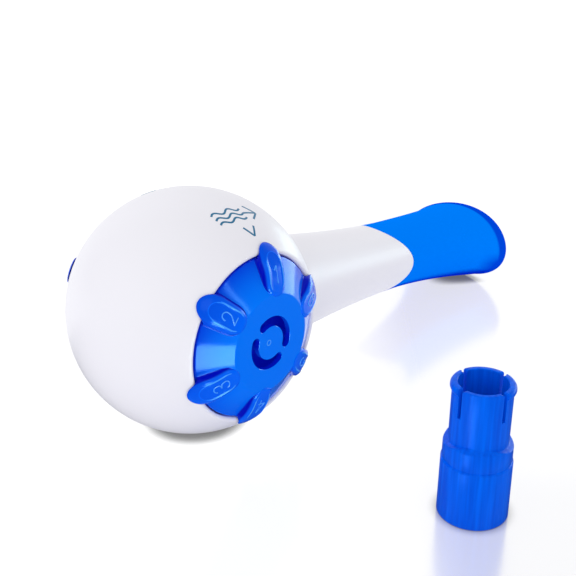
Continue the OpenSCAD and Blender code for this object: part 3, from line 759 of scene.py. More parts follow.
@dataclass
class Dial:
    """A blue dial: flat face, conical skirt, curved slots and six numbered finger tabs."""

    device: Device
    side: float
    turn: float
    prefix: str
    face_at: float = 28.6
    face_r: float = 12.8
    face_round: float = 0.9
    rim_at: float = 23.486
    rim_r: float = 21.0
    rim_depth: float = 2.1
    wall: float = 1.5
    hub_r: float = 3.4
    hub_from: float = 19.6
    thread_r: float = 1.15
    thread_l: float = 5.55
    slot_at: float = 5.7
    slot_w: float = 2.6
    slot_span: float = 136.2
    slot_edge: float = 0.1
    peg_r: float = 1.1
    peg_at: float = 9.0
    disc_at: float = 20.55
    gate_at: Flat = (-0.9, 0.2)
    gate_r: Flat = (0.5, 0.85)
    slot_turns: Flat = (60, 240)
    peg_turns: Flat = (0, 180)
    tabs: int = 6
    foot_w: float = 4.3
    top_w: float = 3.3
    reach: float = 24.3
    start: float = 12.2
    rise: float = 0.22
    fall: float = 2.0
    brow: float = 4.145
    over_ball: float = 0.35
    port_top: float = 23.536
    edge: float = 0.5
    panel_w: float = 2.55
    shoulder: float = 0.5
    bead_w: float = 0.4
    bead_h: float = 0.12
    foot_round: float = 0.35
    digit_at: float = 17.4
    digit_h: float = 4.0
    digit_w: float = 2.6
    stroke_r: float = 0.17
    # Painted highlight on the bead round each tab's top and on the gate mark; painted shade on the tabs'
    # walls, towards their tips, on the skirt towards the rim and on undersides
    bead_light: float = 0.85
    bead_fades: Flat = (19.5, 22.5)
    mark_light: float = 0.8
    wall_from: float = 0.2
    wall_over: float = 0.5
    tip_l: float = 1.2
    tip_share: float = 0.4
    skirt_share: float = 0.75
    skirt_power: float = 1.6
    inside_share: float = 0.9

    @property
    def place(self) -> Matrix:
        """Turns the dial's own frame into the row's."""
        return self.device.port(self.side, self.turn)

    @property
    def body(self) -> str:
        """Returns the CAD body that the dial turns with."""
        return f"{self.prefix}_dial"

    def top_z(self, r: float) -> float:
        """Returns the height of a tab's top at a radius."""
        t = max(0.0, (r - self.start) / (self.reach - self.start))
        return self.face_at + self.rise - self.fall * t - self.brow * t ** 3

    def base_z(self, r: float) -> float:
        """Returns the height of the face or the skirt at a radius."""
        if r <= self.face_r:
            return self.face_at
        share = (r - self.face_r) / (self.rim_r - self.face_r)
        return self.face_at + (self.rim_at - self.face_at) * share

    def ball_z(self, r: float) -> float:
        """Returns the height of a tab's underside beyond the rim, clear of the ball and its port."""
        over = math.sqrt((self.device.ball_r + self.over_ball) ** 2 - r * r)
        return min(over, self.port_top + self.over_ball)

    def disc(self) -> bpy.types.Object:
        """Builds the face, skirt, rim, hub and drive pegs, with the two slots cut."""
        w = self.wall
        skirt = [(self.face_r + (self.rim_r - self.face_r) * k / 10, 0) for k in range(3, 10)]
        profile = rounded([
            (0, self.face_at, 0), (self.face_r, self.face_at, self.face_round),
            *((r, self.base_z(r), 0) for r, _ in skirt),
            (self.rim_r, self.rim_at, 0.3), (self.rim_r, self.rim_at - self.rim_depth, 0.2),
            (self.rim_r - w, self.rim_at - self.rim_depth, 0.2), (self.rim_r - w, self.rim_at - w / 2, 0),
            (self.face_r - w / 2, self.face_at - w, 0), (self.hub_r, self.face_at - w, 0),
            (self.hub_r, self.hub_from, 0), (self.thread_r, self.hub_from, 0),
            (self.thread_r, self.hub_from + self.thread_l, 0), (0, self.hub_from + self.thread_l, 0),
        ])
        made = settle("disc", *spun(profile, 192), self.place, BLUE_PC)
        for a in self.slot_turns:
            cut_with(made, self.slot(a))
        tidy(made)
        pegs = []
        for a in self.peg_turns:
            at = Matrix.Rotation(math.radians(a), 4, "Z") @ Matrix.Translation((self.peg_at, 0, 0))
            peg = [(0, self.disc_at), (self.peg_r, self.disc_at), (self.peg_r, self.face_at - w / 2),
                   (0, self.face_at - w / 2)]
            pegs.append(settle("peg", *spun(peg, 32), self.place @ at, BLUE_PC))
        near, far = self.gate_r
        gate = [(near, -0.1), (far, -0.1), (far - 0.07, 0.06), (near + 0.07, 0.06)]
        mark = Matrix.Translation((*self.gate_at, self.face_at))
        pegs.append(settle("gate mark", *spun(gate, 32), self.place @ mark, BLUE_PC))
        return joined("disc", [made, *pegs])

    def slot(self, middle: float) -> bpy.types.Object:
        """Returns the cutter for one curved slot, with a fine bevel at the face.

        Args:
            middle: the angle of the slot's middle, in degrees.

        Returns:
            The cutter.
        """
        def loop(half: float, z: float) -> list[Point]:
            """Returns the slot's outline at one height."""
            ends, arc = 12, 40
            out = []
            span = math.radians(self.slot_span / 2)
            mid = math.radians(middle)
            for k in range(arc + 1):
                a = mid - span + 2 * span * k / arc
                out.append(((self.slot_at + half) * math.cos(a), (self.slot_at + half) * math.sin(a), z))
            for end, back in ((mid + span, 0.0), (mid - span, math.pi)):
                c = (self.slot_at * math.cos(end), self.slot_at * math.sin(end))
                for k in range(1, ends):
                    a = end + back + math.pi * k / ends
                    out.append((c[0] + half * math.cos(a), c[1] + half * math.sin(a), z))
                if not back:
                    near = self.slot_at - half
                    for j in range(arc + 1):
                        b = mid + span - 2 * span * j / arc
                        out.append((near * math.cos(b), near * math.sin(b), z))
            return out

        half, top = self.slot_w / 2, self.face_at
        rows = [
            loop(half, top - self.wall - 1), loop(half, top - self.slot_edge),
            loop(half + self.slot_edge, top), loop(half + self.slot_edge + 0.6, top + 0.6),
        ]
        verts, faces = grid(rows, around=True, along=False)
        n = len(rows[0])
        faces.append(list(range(n)))
        faces.append(list(range(3 * n, 4 * n)))
        return settle("slot", verts, faces, self.place, BLUE_PC)

    def tab(self) -> tuple[list[Point], list[list[int]]]:
        """Returns one tab's mesh in its own place, pointing along +X."""
        straight, ends = 26, 26
        a, b = self.start + self.top_w, self.reach - self.foot_w
        draft = (self.foot_w - self.top_w) / (self.face_at + self.rise - self.rim_at + self.rim_depth)
        spine: list[tuple[Vector, Vector]] = []
        for k in range(straight):
            spine.append((Vector((a + (b - a) * k / straight, 0)), Vector((0, -1))))
        for k in range(ends):
            t = math.pi * k / ends
            spine.append((Vector((b, 0)), Vector((math.sin(t), -math.cos(t)))))
        for k in range(straight):
            spine.append((Vector((b - (b - a) * k / straight, 0)), Vector((0, 1))))
        for k in range(ends):
            t = math.pi * k / ends
            spine.append((Vector((a, 0)), Vector((-math.sin(t), math.cos(t)))))

        def wall_w(z: float) -> float:
            """Returns how far the side wall stands out at a height."""
            return self.top_w + draft * (self.face_at + self.rise - z)

        columns = []
        for m, n in spine:
            w = self.top_w
            for _ in range(12):
                w = wall_w(self.top_z((m + n * w).length))
            edge_w = w
            foot_w = w
            for _ in range(12):
                r = (m + n * foot_w).length
                low = self.base_z(r) if r < self.rim_r + 0.05 else self.ball_z(r)
                foot_w = wall_w(low)
            r = (m + n * foot_w).length
            over = r >= self.rim_r + 0.05
            low = self.ball_z(r) if over else self.base_z(r)
            high = self.top_z((m + n * edge_w).length)
            tall = max(0.02, high - low)
            soft = min(self.edge, 0.8 * tall)
            column: list[Point] = []

            drop_ = min(self.shoulder, 0.4 * tall)

            def top_point(width: float) -> Point:
                """Returns the point of the top at a distance from the spine."""
                p = m + n * width
                out = max(0.0, (width - self.panel_w) / (edge_w - self.panel_w))
                return (p.x, p.y, self.top_z(p.length) - drop_ * out ** 1.4)

            bead = self.bead_h * min(1.0, tall / 2)
            inner_w = edge_w - soft
            for k in range(5):
                column.append(top_point((self.panel_w - self.bead_w) * k / 4))
            for share, up in ((0.7, 0.7), (0.35, 1.0), (0.0, 0.35)):
                x, y, z = top_point(self.panel_w - share * self.bead_w)
                column.append((x, y, z + bead * up))
            for k in range(1, 5):
                column.append(top_point(self.panel_w + 0.06 + (inner_w - self.panel_w - 0.06) * k / 5))
            corner = top_point(edge_w)
            down = high - drop_ - soft * 0.8
            p = m + n * wall_w(down)
            column += bend(top_point(inner_w), corner, (p.x, p.y, down), 6)
            foot = m + n * foot_w
            if over:
                lip = min(0.25, tall / 4)
                q = m + n * wall_w(low + lip)
                column.append((q.x, q.y, low + lip))
                r2 = (m + n * (foot_w - lip)).length
                s = m + n * (foot_w - lip)
                under = (s.x, s.y, self.ball_z(r2))
                column += bend((q.x, q.y, low + lip), (foot.x, foot.y, low), under, 4)[1:]
                for k in range(1, 6):
                    s = m + n * ((foot_w - lip) * (1 - k / 5))
                    z = self.ball_z(s.length) if s.length > self.rim_r else self.base_z(s.length) - 0.9
                    column.append((s.x, s.y, z))
            else:
                fill = min(self.foot_round, tall / 2)
                q = m + n * wall_w(low + fill)
                out = m + n * (foot_w + fill)
                column += bend((q.x, q.y, low + fill), (foot.x, foot.y, low),
                               (out.x, out.y, self.base_z(out.length) - 0.012), 4)
                s = m + n * foot_w
                column.append((s.x, s.y, self.base_z(s.length) - 0.5))
                for k in range(1, 5):
                    s = m + n * (foot_w * (1 - k / 4))
                    z = self.ball_z(s.length) if s.length > self.rim_r else self.base_z(s.length) - 0.9
                    column.append((s.x, s.y, z))
            columns.append(column)
        long = max(len(c) for c in columns)
        columns = [c + [c[-1]] * (long - len(c)) for c in columns]
        verts, faces = grid(columns, around=False, along=True)
        return verts, faces

    def digits(self) -> bpy.types.Object:
        """Builds the raised numerals, one on each tab, their tops outwards."""
        lines = []
        for k in range(self.tabs):
            turn = math.pi / 2 + 2 * math.pi * k / self.tabs
            for line in NUMERALS[k]:
                points = []
                for u, v in line:
                    r = self.digit_at + (v - 0.5) * self.digit_h
                    side = -(u - 0.5) * self.digit_w
                    far = math.hypot(r, side)
                    points.append((
                        r * math.cos(turn) - side * math.sin(turn),
                        r * math.sin(turn) + side * math.cos(turn), self.top_z(far),
                    ))
                lines.append(points)
        return along_lines(f"{self.prefix} numerals", lines, self.stroke_r, self.place, STROKE_PC)

    def painted_shade_share(self, slot: int, normal: Vector, p: Vector) -> float:
        """Returns the share of painted shade at a corner.

        Args:
            slot: the material's number, 1 on the tabs.
            normal: the face's normal in the dial's frame.
            p: the corner in the dial's frame.

        Returns:
            The share, where less than 0 is painted highlight.
        """
        r = math.hypot(p.x, p.y)
        if slot == 1:
            below = self.top_z(min(r, self.reach)) - p.z
            # Painted highlight on the bead that stands above the top, fading towards the tip
            if below < -0.03:
                near, far = self.bead_fades
                return -self.bead_light * min(1.0, max(0.0, (far - r) / (far - near)))
            # Painted shade down the side walls, and growing towards the tip
            along = max(0.0, (r - self.start) / (self.reach - self.start))
            wall = (below - self.wall_from) / self.wall_over
            if r > self.reach - self.tip_l:
                wall = min(self.tip_share, wall)
            return max(0.5 * along, wall)
        # Painted shade on the slot walls
        if abs(r - self.slot_at) < self.slot_w and abs(normal.z) < 0.6:
            return 1.0
        # Painted highlight on the gate mark
        if r < self.hub_r and p.z > self.face_at + 0.01:
            return -self.mark_light
        # Painted shade on the skirt, deeper towards the rim
        if normal.z > 0.5:
            out = max(0.0, (r - self.face_r) / (self.rim_r - self.face_r))
            return self.skirt_share * out ** self.skirt_power
        # Painted shade on undersides, the rim wall and the hub
        return self.inside_share

    def build(self) -> None:
        """Builds the dial in place of the plain one."""
        disc = self.disc()
        verts, faces = self.tab()
        single = settle("tab", verts, faces, Matrix.Scale(MM, 4), TAB_PC, sharp=50)
        ring = around_axis(f"{self.prefix}_tabs", single, self.tabs, self.place, TAB_PC)
        made = joined(f"{self.prefix}_dial_look", [disc, ring, self.digits()])
        made.data.set_sharp_from_angle(angle=math.radians(38))
        paint_shade_and_highlight(made, self.place.inverted(), self.painted_shade_share)
        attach(made, self.body)
        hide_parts(f"{self.prefix}_dial")
        report(made)


def around_axis(
    name: str, single: bpy.types.Object, count: int, place: Matrix, finish: Finish,
) -> bpy.types.Object:
    """Repeats a piece round an axis with Geometry Nodes.

    Args:
        name: the ring's name.
        single: the piece, pointing along +X, the first of which comes to stand at +Y.
        count: how many there are.
        place: turns the ring's frame, in millimetres, into the row's.
        finish: the material.

    Returns:
        The ring as a plain mesh.
    """
    tree = bpy.data.node_groups.new(f"{name} ring", "GeometryNodeTree")
    face = tree.interface
    face.new_socket("Geometry", in_out="INPUT", socket_type="NodeSocketGeometry")
    face.new_socket("Piece", in_out="INPUT", socket_type="NodeSocketObject")
    face.new_socket("Count", in_out="INPUT", socket_type="NodeSocketInt")
    face.new_socket("First Turn", in_out="INPUT", socket_type="NodeSocketFloat")
    face.new_socket("Material", in_out="INPUT", socket_type="NodeSocketMaterial")
    face.new_socket("Geometry", in_out="OUTPUT", socket_type="NodeSocketGeometry")
    given = add(tree, "NodeGroupInput")
    points = add(tree, "GeometryNodePoints", {"Count": given.outputs["Count"]})
    step = add(tree, "ShaderNodeMath", {0: 2 * math.pi, 1: given.outputs["Count"]}, operation="DIVIDE")
    index = add(tree, "GeometryNodeInputIndex")
    swung = add(tree, "ShaderNodeMath", {0: index.outputs[0], 1: step.outputs[0]}, operation="MULTIPLY")
    turn = add(tree, "ShaderNodeMath", {0: swung.outputs[0], 1: given.outputs["First Turn"]}, operation="ADD")
    about = add(tree, "ShaderNodeCombineXYZ", {"Z": turn.outputs[0]})
    source = add(tree, "GeometryNodeObjectInfo", {"Object": given.outputs["Piece"]})
    each = add(tree, "GeometryNodeInstanceOnPoints", {
        "Points": points.outputs[0], "Instance": source.outputs["Geometry"],
        "Rotation": about.outputs[0],
    })
    real = add(tree, "GeometryNodeRealizeInstances", {0: each.outputs[0]})
    dressed = add(tree, "GeometryNodeSetMaterial", {
        "Geometry": real.outputs[0], "Material": given.outputs["Material"],
    })
    add(tree, "NodeGroupOutput", {0: dressed.outputs[0]})
    made = bpy.data.objects.new(name, bpy.data.meshes.new(name))
    bpy.context.scene.collection.objects.link(made)
    modifier = made.modifiers.new("ring", "NODES")
    modifier.node_group = tree
    values = {"Piece": single, "Count": count, "First Turn": math.pi / 2, "Material": finish.material()}
    give(modifier, values)
    keep(made, modifier)
    drop(single)
    made.data.transform(place @ Matrix.Scale(1 / MM, 4))
    tidy(made, 50)
    return made


def along_lines(
    name: str, lines: Sequence[Sequence[Point]], radius: float, place: Matrix, finish: Finish,
) -> bpy.types.Object:
    """Lays a thin round stroke along lines with Geometry Nodes.

    Args:
        name: the strokes' name.
        lines: the lines' points in millimetres.
        radius: the stroke's radius in millimetres.
        place: turns the lines' frame into the row's.
        finish: the material.

    Returns:
        The strokes as a plain mesh.
    """
    curve = bpy.data.curves.new(name, "CURVE")
    curve.dimensions = "3D"
    for line in lines:
        spline = curve.splines.new("POLY")
        spline.points.add(len(line) - 1)
        for point, co in zip(spline.points, line):
            point.co = (*co, 1.0)
    path = bpy.data.objects.new(f"{name} path", curve)
    bpy.context.scene.collection.objects.link(path)
    tree = bpy.data.node_groups.new(f"{name} strokes", "GeometryNodeTree")
    face = tree.interface
    face.new_socket("Geometry", in_out="INPUT", socket_type="NodeSocketGeometry")
    face.new_socket("Path", in_out="INPUT", socket_type="NodeSocketObject")
    face.new_socket("Radius", in_out="INPUT", socket_type="NodeSocketFloat")
    face.new_socket("Material", in_out="INPUT", socket_type="NodeSocketMaterial")
    face.new_socket("Geometry", in_out="OUTPUT", socket_type="NodeSocketGeometry")
    given = add(tree, "NodeGroupInput")
    source = add(tree, "GeometryNodeObjectInfo", {"Object": given.outputs["Path"]})
    section = add(tree, "GeometryNodeCurvePrimitiveCircle", {
        "Resolution": 10, "Radius": given.outputs["Radius"],
    })
    swept = add(tree, "GeometryNodeCurveToMesh", {
        "Curve": source.outputs["Geometry"], "Profile Curve": section.outputs[0], "Fill Caps": True,
    })
    dressed = add(tree, "GeometryNodeSetMaterial", {
        "Geometry": swept.outputs[0], "Material": given.outputs["Material"],
    })
    add(tree, "NodeGroupOutput", {0: dressed.outputs[0]})
    made = bpy.data.objects.new(name, bpy.data.meshes.new(name))
    bpy.context.scene.collection.objects.link(made)
    modifier = made.modifiers.new("strokes", "NODES")
    modifier.node_group = tree
    give(modifier, {"Path": path, "Radius": radius, "Material": finish.material()})
    keep(made, modifier)
    drop(path)
    made.data.transform(place)
    tidy(made, 60)
    return made


def give(modifier: bpy.types.Modifier, values: dict[str, object]) -> None:
    """Sets a Geometry Nodes modifier's named inputs by their identifiers.

    Args:
        modifier: the modifier.
        values: input name to value.
    """
    for item in modifier.node_group.interface.items_tree:
        if item.item_type == "SOCKET" and item.in_out == "INPUT" and item.name in values:
            modifier[item.identifier] = values[item.name]


def report(made: bpy.types.Object) -> None:
    """Logs one finished piece."""
    LOG.info("%s: %d faces", made.name, len(made.data.polygons))


# The mouthpiece


@dataclass
class Mouthpiece:
    """The flared oval mouthpiece, with painted shade along the rolled rim at the lips and on its underside.
    """

    device: Device
    handle: Handle = field(default_factory=Handle)
    lip_at: float = 135.7
    lip_w: float = 20.9
    lip_h: float = 12.5
    waist: float = 1.0
    low: float = 1.6
    dish: float = 3.8
    lip_wall: float = 1.7
    skirt_wall: float = 1.9
    gap: float = 0.05
    throat_r: float = 5.85
    grip_r: float = 8.0
    grip_end: float = 99.95
    collar_at: float = 89.95
    power: float = 2.1
    around: int = 144
    rim: float = 1.7
    bead: float = 0.38
    neck: float = 4.5
    # Painted shade in a band along the rolled rim: its width, how much wider on faces that turn up, its fade
    # and its greatest share
    rim_shade_band: float = 2.7
    band_above: float = 0.9
    band_fades: float = 1.2
    band_share: float = 0.8

    @property
    def flare_from(self) -> float:
        """Returns where the flare starts."""
        return self.handle.end_at - self.handle.parting_swing / 2

    def share(self, x: float) -> float:
        """Returns how far along the flare x is, from 0 to 1."""
        return max(0.0, (x - self.flare_from) / (self.lip_at - self.flare_from))

    def section(self, x: float, inset: float) -> tuple[float, float, float]:
        """Returns half width, half height and drop of the outer skin at x, drawn in by inset."""
        s = self.share(x)
        r = self.handle.radius(x)
        wide = r + (self.lip_w - r) * s ** self.power - 4 * self.waist * s * (1 - s)
        high = r + (self.lip_h - r) * s
        return (wide - inset, high - inset, self.low * s * s)

    def groove(self, x: float) -> float:
        """Returns how far the skin dips behind the rolled rim at x."""
        back = self.lip_at - self.lip_wall / 2 - x
        if back <= 0:
            return 0.0
        if back < self.rim - self.lip_wall / 2:
            t = back / (self.rim - self.lip_wall / 2)
            return self.bead * t * t * (3 - 2 * t)
        t = min(1.0, (back - self.rim + self.lip_wall / 2) / self.neck)
        return self.bead * (1 - t) ** 2

    def oval(self, x: float, wide: float, high: float, drop_: float, dish: float) -> list[Point]:
        """Returns the points of one oval.

        Args:
            x: its place along the handle.
            wide: half its width.
            high: half its height.
            drop_: how far its centre lies below the axis.
            dish: how far its ends are drawn back.

        Returns:
            The points.
        """
        out = []
        for j in range(self.around):
            a = 2 * math.pi * j / self.around
            out.append((x - dish * math.cos(a) ** 2, wide * math.cos(a), high * math.sin(a) - drop_))
        return out

    def skirt(self, inner: float) -> list[Point]:
        """Returns the points along the parting line, on the outer skin or at an inner radius."""
        out = []
        for j in range(self.around):
            a = 2 * math.pi * j / self.around
            x = self.handle.parting(math.pi / 2 - a) + self.gap
            r = inner or self.handle.radius(x)
            out.append((x, r * math.cos(a), r * math.sin(a)))
        return out

    def outside(self, first: Sequence[Point], steps: int) -> list[list[Point]]:
        """Returns the rows of the outer skin, from the parting line to the rim's crest.

        Args:
            first: the points along the parting line.
            steps: the number of rows.

        Returns:
            The rows.
        """
        rows = []
        crest = self.lip_at - self.lip_wall / 2
        for k in range(1, steps + 1):
            t = 1 - (1 - k / steps) ** 1.4
            row = []
            for j in range(self.around):
                a = 2 * math.pi * j / self.around
                x = first[j][0] + (crest - first[j][0]) * t
                wide, high, drop_ = self.section(x, self.groove(x))
                back = self.dish * (self.share(x) * math.cos(a)) ** 2
                row.append((x - back, wide * math.cos(a), high * math.sin(a) - drop_))
            rows.append(row)
        return rows

    def build(self) -> None:
        """Builds the mouthpiece in place of the plain one."""
        outer_steps, round_steps, inner_steps = 84, 12, 30
        inner = self.handle.end_r - self.skirt_wall
        first = self.skirt(0)
        rows = [first, *self.outside(first, outer_steps)]
        half = self.lip_wall / 2
        crest = self.lip_at - half
        wide, high, drop_ = self.section(crest, 0)
        for k in range(1, round_steps + 1):
            a = math.pi * k / round_steps
            inset = half - half * math.cos(a)
            dish = self.dish * self.share(crest) ** 2
            rows.append(self.oval(crest + half * math.sin(a), wide - inset, high - inset, drop_, dish))
        for k in range(1, inner_steps + 1):
            s = k / inner_steps
            x = crest + (self.grip_end + self.lip_wall - crest) * s
            wide, high, drop_ = self.section(x, self.lip_wall)
            rows.append(self.oval(
                x, wide * (1 - s) + self.throat_r * s, high * (1 - s) + self.throat_r * s,
                drop_ * (1 - s), self.dish * self.share(x) ** 2 * (1 - s),
            ))
        for x, r in (
            (self.grip_end, self.throat_r), (self.grip_end, self.grip_r),
            (self.collar_at, self.grip_r), (self.collar_at, inner),
        ):
            rows.append(self.oval(x, r, r, 0, 0))
        rows.append(self.skirt(inner))
        verts, faces = grid(rows, around=True, along=True)
        made = settle("mouthpiece_look", verts, faces, self.device.place, BLUE_TPE, sharp=40)
        paint_shade_and_highlight(made, self.device.place.inverted(), self.painted_shade_share)
        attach(made, "mouthpiece")
        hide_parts("mouthpiece")
        report(made)

    def painted_shade_share(self, slot: int, normal: Vector, p: Vector) -> float:
        """Returns the share of painted shade: along the rolled rim, on faces turned down and on lower faces
        near the lips.

        Args:
            slot: the material's number, not used.
            normal: the face's normal in the device's frame.
            p: the corner in the device's frame.

        Returns:
            The share, where less than 0 would be painted highlight.
        """
        side = min(1.0, abs(p.y) / self.lip_w)
        back = self.lip_at - self.dish * side * side - p.x
        # Painted shade in a band along the rolled rim, wider on faces that turn up
        rim_shade_band = self.rim_shade_band + self.band_above * max(0.0, normal.z)
        rim = min(self.band_share, 1.0 - (back - rim_shade_band) / self.band_fades)
        # Painted shade on faces turned down, and on lower faces near the lips
        under = min(1.0, (-normal.z - 0.6) / 0.2)
        near_lip = min(1.0, max(0.0, 1.4 - back / 8))
        low = near_lip * min(1.0, max(0.0, (0.05 - normal.z) / 0.5))
        return max(rim, under, self.band_share * low)


# The loose adapter


@dataclass
class Adapter:
    """The loose adapter: sleeve, arched shoulder and neck with four snap arms, two of them hooked."""

    frame_at: Matrix
    sleeve_r: float = 8.5
    bore_r: float = 7.5
    bore_l: float = 16.0
    sleeve_h: float = 14.8
    step: float = 0.35
    top: float = 21.2
    arch: float = 1.6
    neck_r: float = 7.0
    neck_bore: float = 5.8
    high: float = 35.0
    barb: float = 0.5
    barb_h: float = 1.9
    slot_l: float = 7.4
    slot_w: float = 1.0
    slot_turns: Flat = (45, 135)
    hook_turns: Flat = (0, 180)
    hook_fades: float = 0.86
    corner: float = 0.6
    edge: float = 0.15
    groove: float = 0.12
    lip: float = 0.2
    steps: int = 180

    def shoulder(self, r: float, turn: float) -> float:
        """Returns the height of the arched shoulder at a radius and angle."""
        x = r * math.cos(turn)
        return min(self.top - self.arch * (x / self.neck_r) ** 2, self.top - (r - self.neck_r))

    def body(self) -> bpy.types.Object:
        """Builds the sleeve, shoulder and neck in one closed loft."""
        rows = []
        out = self.sleeve_r - self.step
        e, lip, groove = self.edge, self.lip, self.groove
        for i in range(self.steps):
            turn = 2 * math.pi * i / self.steps
            flat: list[Flat] = [
                (self.bore_r, e), (self.bore_r + e, 0), (self.sleeve_r - e, 0),
                (self.sleeve_r - e * 0.3, e * 0.3), (self.sleeve_r, e),
                (self.sleeve_r - self.step / 4, self.sleeve_h - 0.12),
                (self.sleeve_r - self.step / 2.6, self.sleeve_h + 0.02),
                (out - groove, self.sleeve_h + self.step), (out - groove, self.sleeve_h + self.step + 0.2),
                (out, self.sleeve_h + self.step + 0.4),
                (out, (self.sleeve_h + self.shoulder(out, turn)) / 2),
                (out, self.shoulder(out, turn) - e),
            ]
            for k in range(6):
                r = out - e - (out - e - self.neck_r - 0.1) * k / 5
                flat.append((r, self.shoulder(r, turn)))
            flat += [
                (self.neck_r, self.shoulder(self.neck_r, turn) + 0.1),
                (self.neck_r, self.high - self.slot_l), (self.neck_r, self.high - lip),
                (self.neck_r - 0.3 * lip, self.high - 0.3 * lip), (self.neck_r - lip, self.high),
                (self.neck_bore + lip, self.high), (self.neck_bore, self.high - lip),
                (self.neck_bore, self.bore_l), (self.bore_r, self.bore_l),
            ]
            rows.append([(r * math.cos(turn), r * math.sin(turn), z) for r, z in flat])
        verts, faces = grid(rows, around=True, along=True)
        return settle("adapter_look", verts, faces, Matrix.Scale(MM, 4), ADAPTER_PP, sharp=32)

    def hook(self, middle: float) -> bpy.types.Object:
        """Builds the snap hook along the top of one side arm.

        Args:
            middle: the arm's middle angle in degrees.

        Returns:
            The object.
        """
        low, high, r, b = self.high - self.barb_h, self.high, self.neck_r, self.barb
        flat = [
            (r - 0.5, low), (r, low), (r + 0.3 * b, low + 0.12), (r + 0.8 * b, low + 0.34),
            (r + b, low + 0.62), (r + b, low + 0.95), (r + 0.86 * b, low + 1.3), (r + 0.5 * b, low + 1.6),
            (r + 0.05, high - 0.1), (r - 0.2, high - 0.02), (r - 0.5, high - 0.02),
        ]
        half = math.radians(45) - math.asin(self.slot_w / 2 / self.neck_r) - 0.02
        rows = []
        n = 30
        for i in range(n + 1):
            share = 2 * i / n - 1
            turn = math.radians(middle) + half * share
            end = max(0.0, (abs(share) - self.hook_fades) / (1 - self.hook_fades))
            fade = 1 - 0.35 * end ** 2
            row = []
            for q, z in flat:
                out = r + (q - r) * (fade if q > r else 1)
                row.append((out * math.cos(turn), out * math.sin(turn), z))
            rows.append(row)
        verts, faces = grid(rows, around=True, along=False)
        m = len(flat)
        faces.append(list(range(m)))
        faces.append(list(range(n * m, (n + 1) * m)))
        return settle("hook", verts, faces, Matrix.Scale(MM, 4), ADAPTER_PP, sharp=40)

    def slot(self, middle: float) -> bpy.types.Object:
        """Returns the cutter for one pair of slots, which rounds the arms' top corners.

        Args:
            middle: the slots' angle in degrees.

        Returns:
            The cutter.
        """
        w, low, top, c = self.slot_w / 2, self.high - self.slot_l, self.high + 1, self.corner
        right = [(w, low)]
        for k in range(7):
            a = math.pi - math.pi / 2 * k / 6
            right.append((w + c + c * math.cos(a), self.high - c + c * math.sin(a)))
        right.append((w + c, top))
        outline = right + [(-x, z) for x, z in reversed(right)]
        span = self.sleeve_r + 1
        rows = [[(u, x, z) for x, z in outline] for u in (-span, span)]
        verts, faces = grid(rows, around=True, along=False)
        n = len(outline)
        faces.append(list(range(n)))
        faces.append(list(range(n, 2 * n)))
        turn = Matrix.Rotation(math.radians(middle), 4, "Z")
        return settle("slot", verts, faces, Matrix.Scale(MM, 4) @ turn, ADAPTER_PP)

    def build(self) -> None:
        """Builds the adapter in place of the plain one."""
        made = self.body()
        for middle in self.slot_turns:
            cut_with(made, self.slot(middle))
        tidy(made, 32)
        made = joined("adapter_look", [made, *(self.hook(middle) for middle in self.hook_turns)])
        made.data.transform(self.frame_at)
        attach(made, "adapter")
        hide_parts("adapter")
        report(made)


# Print on the ball


@dataclass
class Print:
    """Flat ink marks on the ball above a port: a chevron that points at the setting, and an air arrow."""

    device: Device
    side: float
    prefix: str
    width: float = 0.54
    lift: float = 0.03
    low: float = 28.5
    high: float = 30.3
    left: float = 104.0
    right: float = 76.6
    chevron_at: Flat = (25.4, 27.1)
    chevron_w: float = 1.8
    streams: Point = (0.1, 0.5, 0.9)
    stream_end: float = 0.66
    shaft_end: float = 0.97
    swing: float = 0.13
    head_from: float = 0.8
    head_l: float = 0.19
    head_out: Flat = (-0.1, 1.1)

    def on_ball(self, x: float, y: float) -> Vector:
        """Returns the ball's point above x and y in the port's frame."""
        return Vector((x, y, math.sqrt(self.device.ball_r ** 2 - x * x - y * y)))

    def in_band(self, u: float, v: float) -> Vector:
        """Returns a point of the printed band, u from left to right and v outwards, both 0 to 1."""
        turn = math.radians(self.left + (self.right - self.left) * u)
        r = self.low + (self.high - self.low) * v
        return self.on_ball(r * math.cos(turn), r * math.sin(turn))

    def ribbon(self, line: Sequence[Vector]) -> bpy.types.Object:
        """Builds one thin closed stroke along a line of points on the ball.

        Args:
            line: the points.

        Returns:
            The object.
        """
        rows = []
        w = self.width / 2
        for i, p in enumerate(line):
            out = p.normalized()
            along = (line[min(i + 1, len(line) - 1)] - line[max(i - 1, 0)]).normalized()
            side = out.cross(along).normalized() * w
            up = out * self.lift
            rows.append([tuple(q) for q in (p + side + up, p - side + up, p - side - up, p + side - up)])
        verts, faces = grid(rows, around=True, along=False)
        n = len(line) - 1
        faces.append([0, 1, 2, 3])
        faces.append([4 * n, 4 * n + 1, 4 * n + 2, 4 * n + 3])
        return settle("stroke", verts, faces, self.device.port(self.side, 0), INK)

    def build(self) -> None:
        """Builds the marks above one port."""
        low, high = self.chevron_at
        wide, tall = self.chevron_w, high - low
        n, long, shaft = 6, 40, self.streams[1]
        lines = [
            [self.on_ball(-wide + wide * k / n, high - tall * k / n) for k in range(n + 1)],
            [self.on_ball(wide * k / n, low + tall * k / n) for k in range(n + 1)],
        ]
        for v in self.streams:
            end = self.shaft_end if v == shaft else self.stream_end
            line = []
            for k in range(long + 1):
                wave = 4 * math.pi * min(1.0, k * end / long / self.stream_end)
                line.append(self.in_band(end * k / long, v + self.swing * math.sin(wave)))
            lines.append(line)
        for v in self.head_out:
            lines.append([
                self.in_band(self.head_from + self.head_l * k / n, v + (shaft - v) * k / n)
                for k in range(n + 1)
            ])
        made = joined(f"{self.prefix}_print", [self.ribbon(line) for line in lines])
        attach(made, "trainer")
        report(made)


# The stage


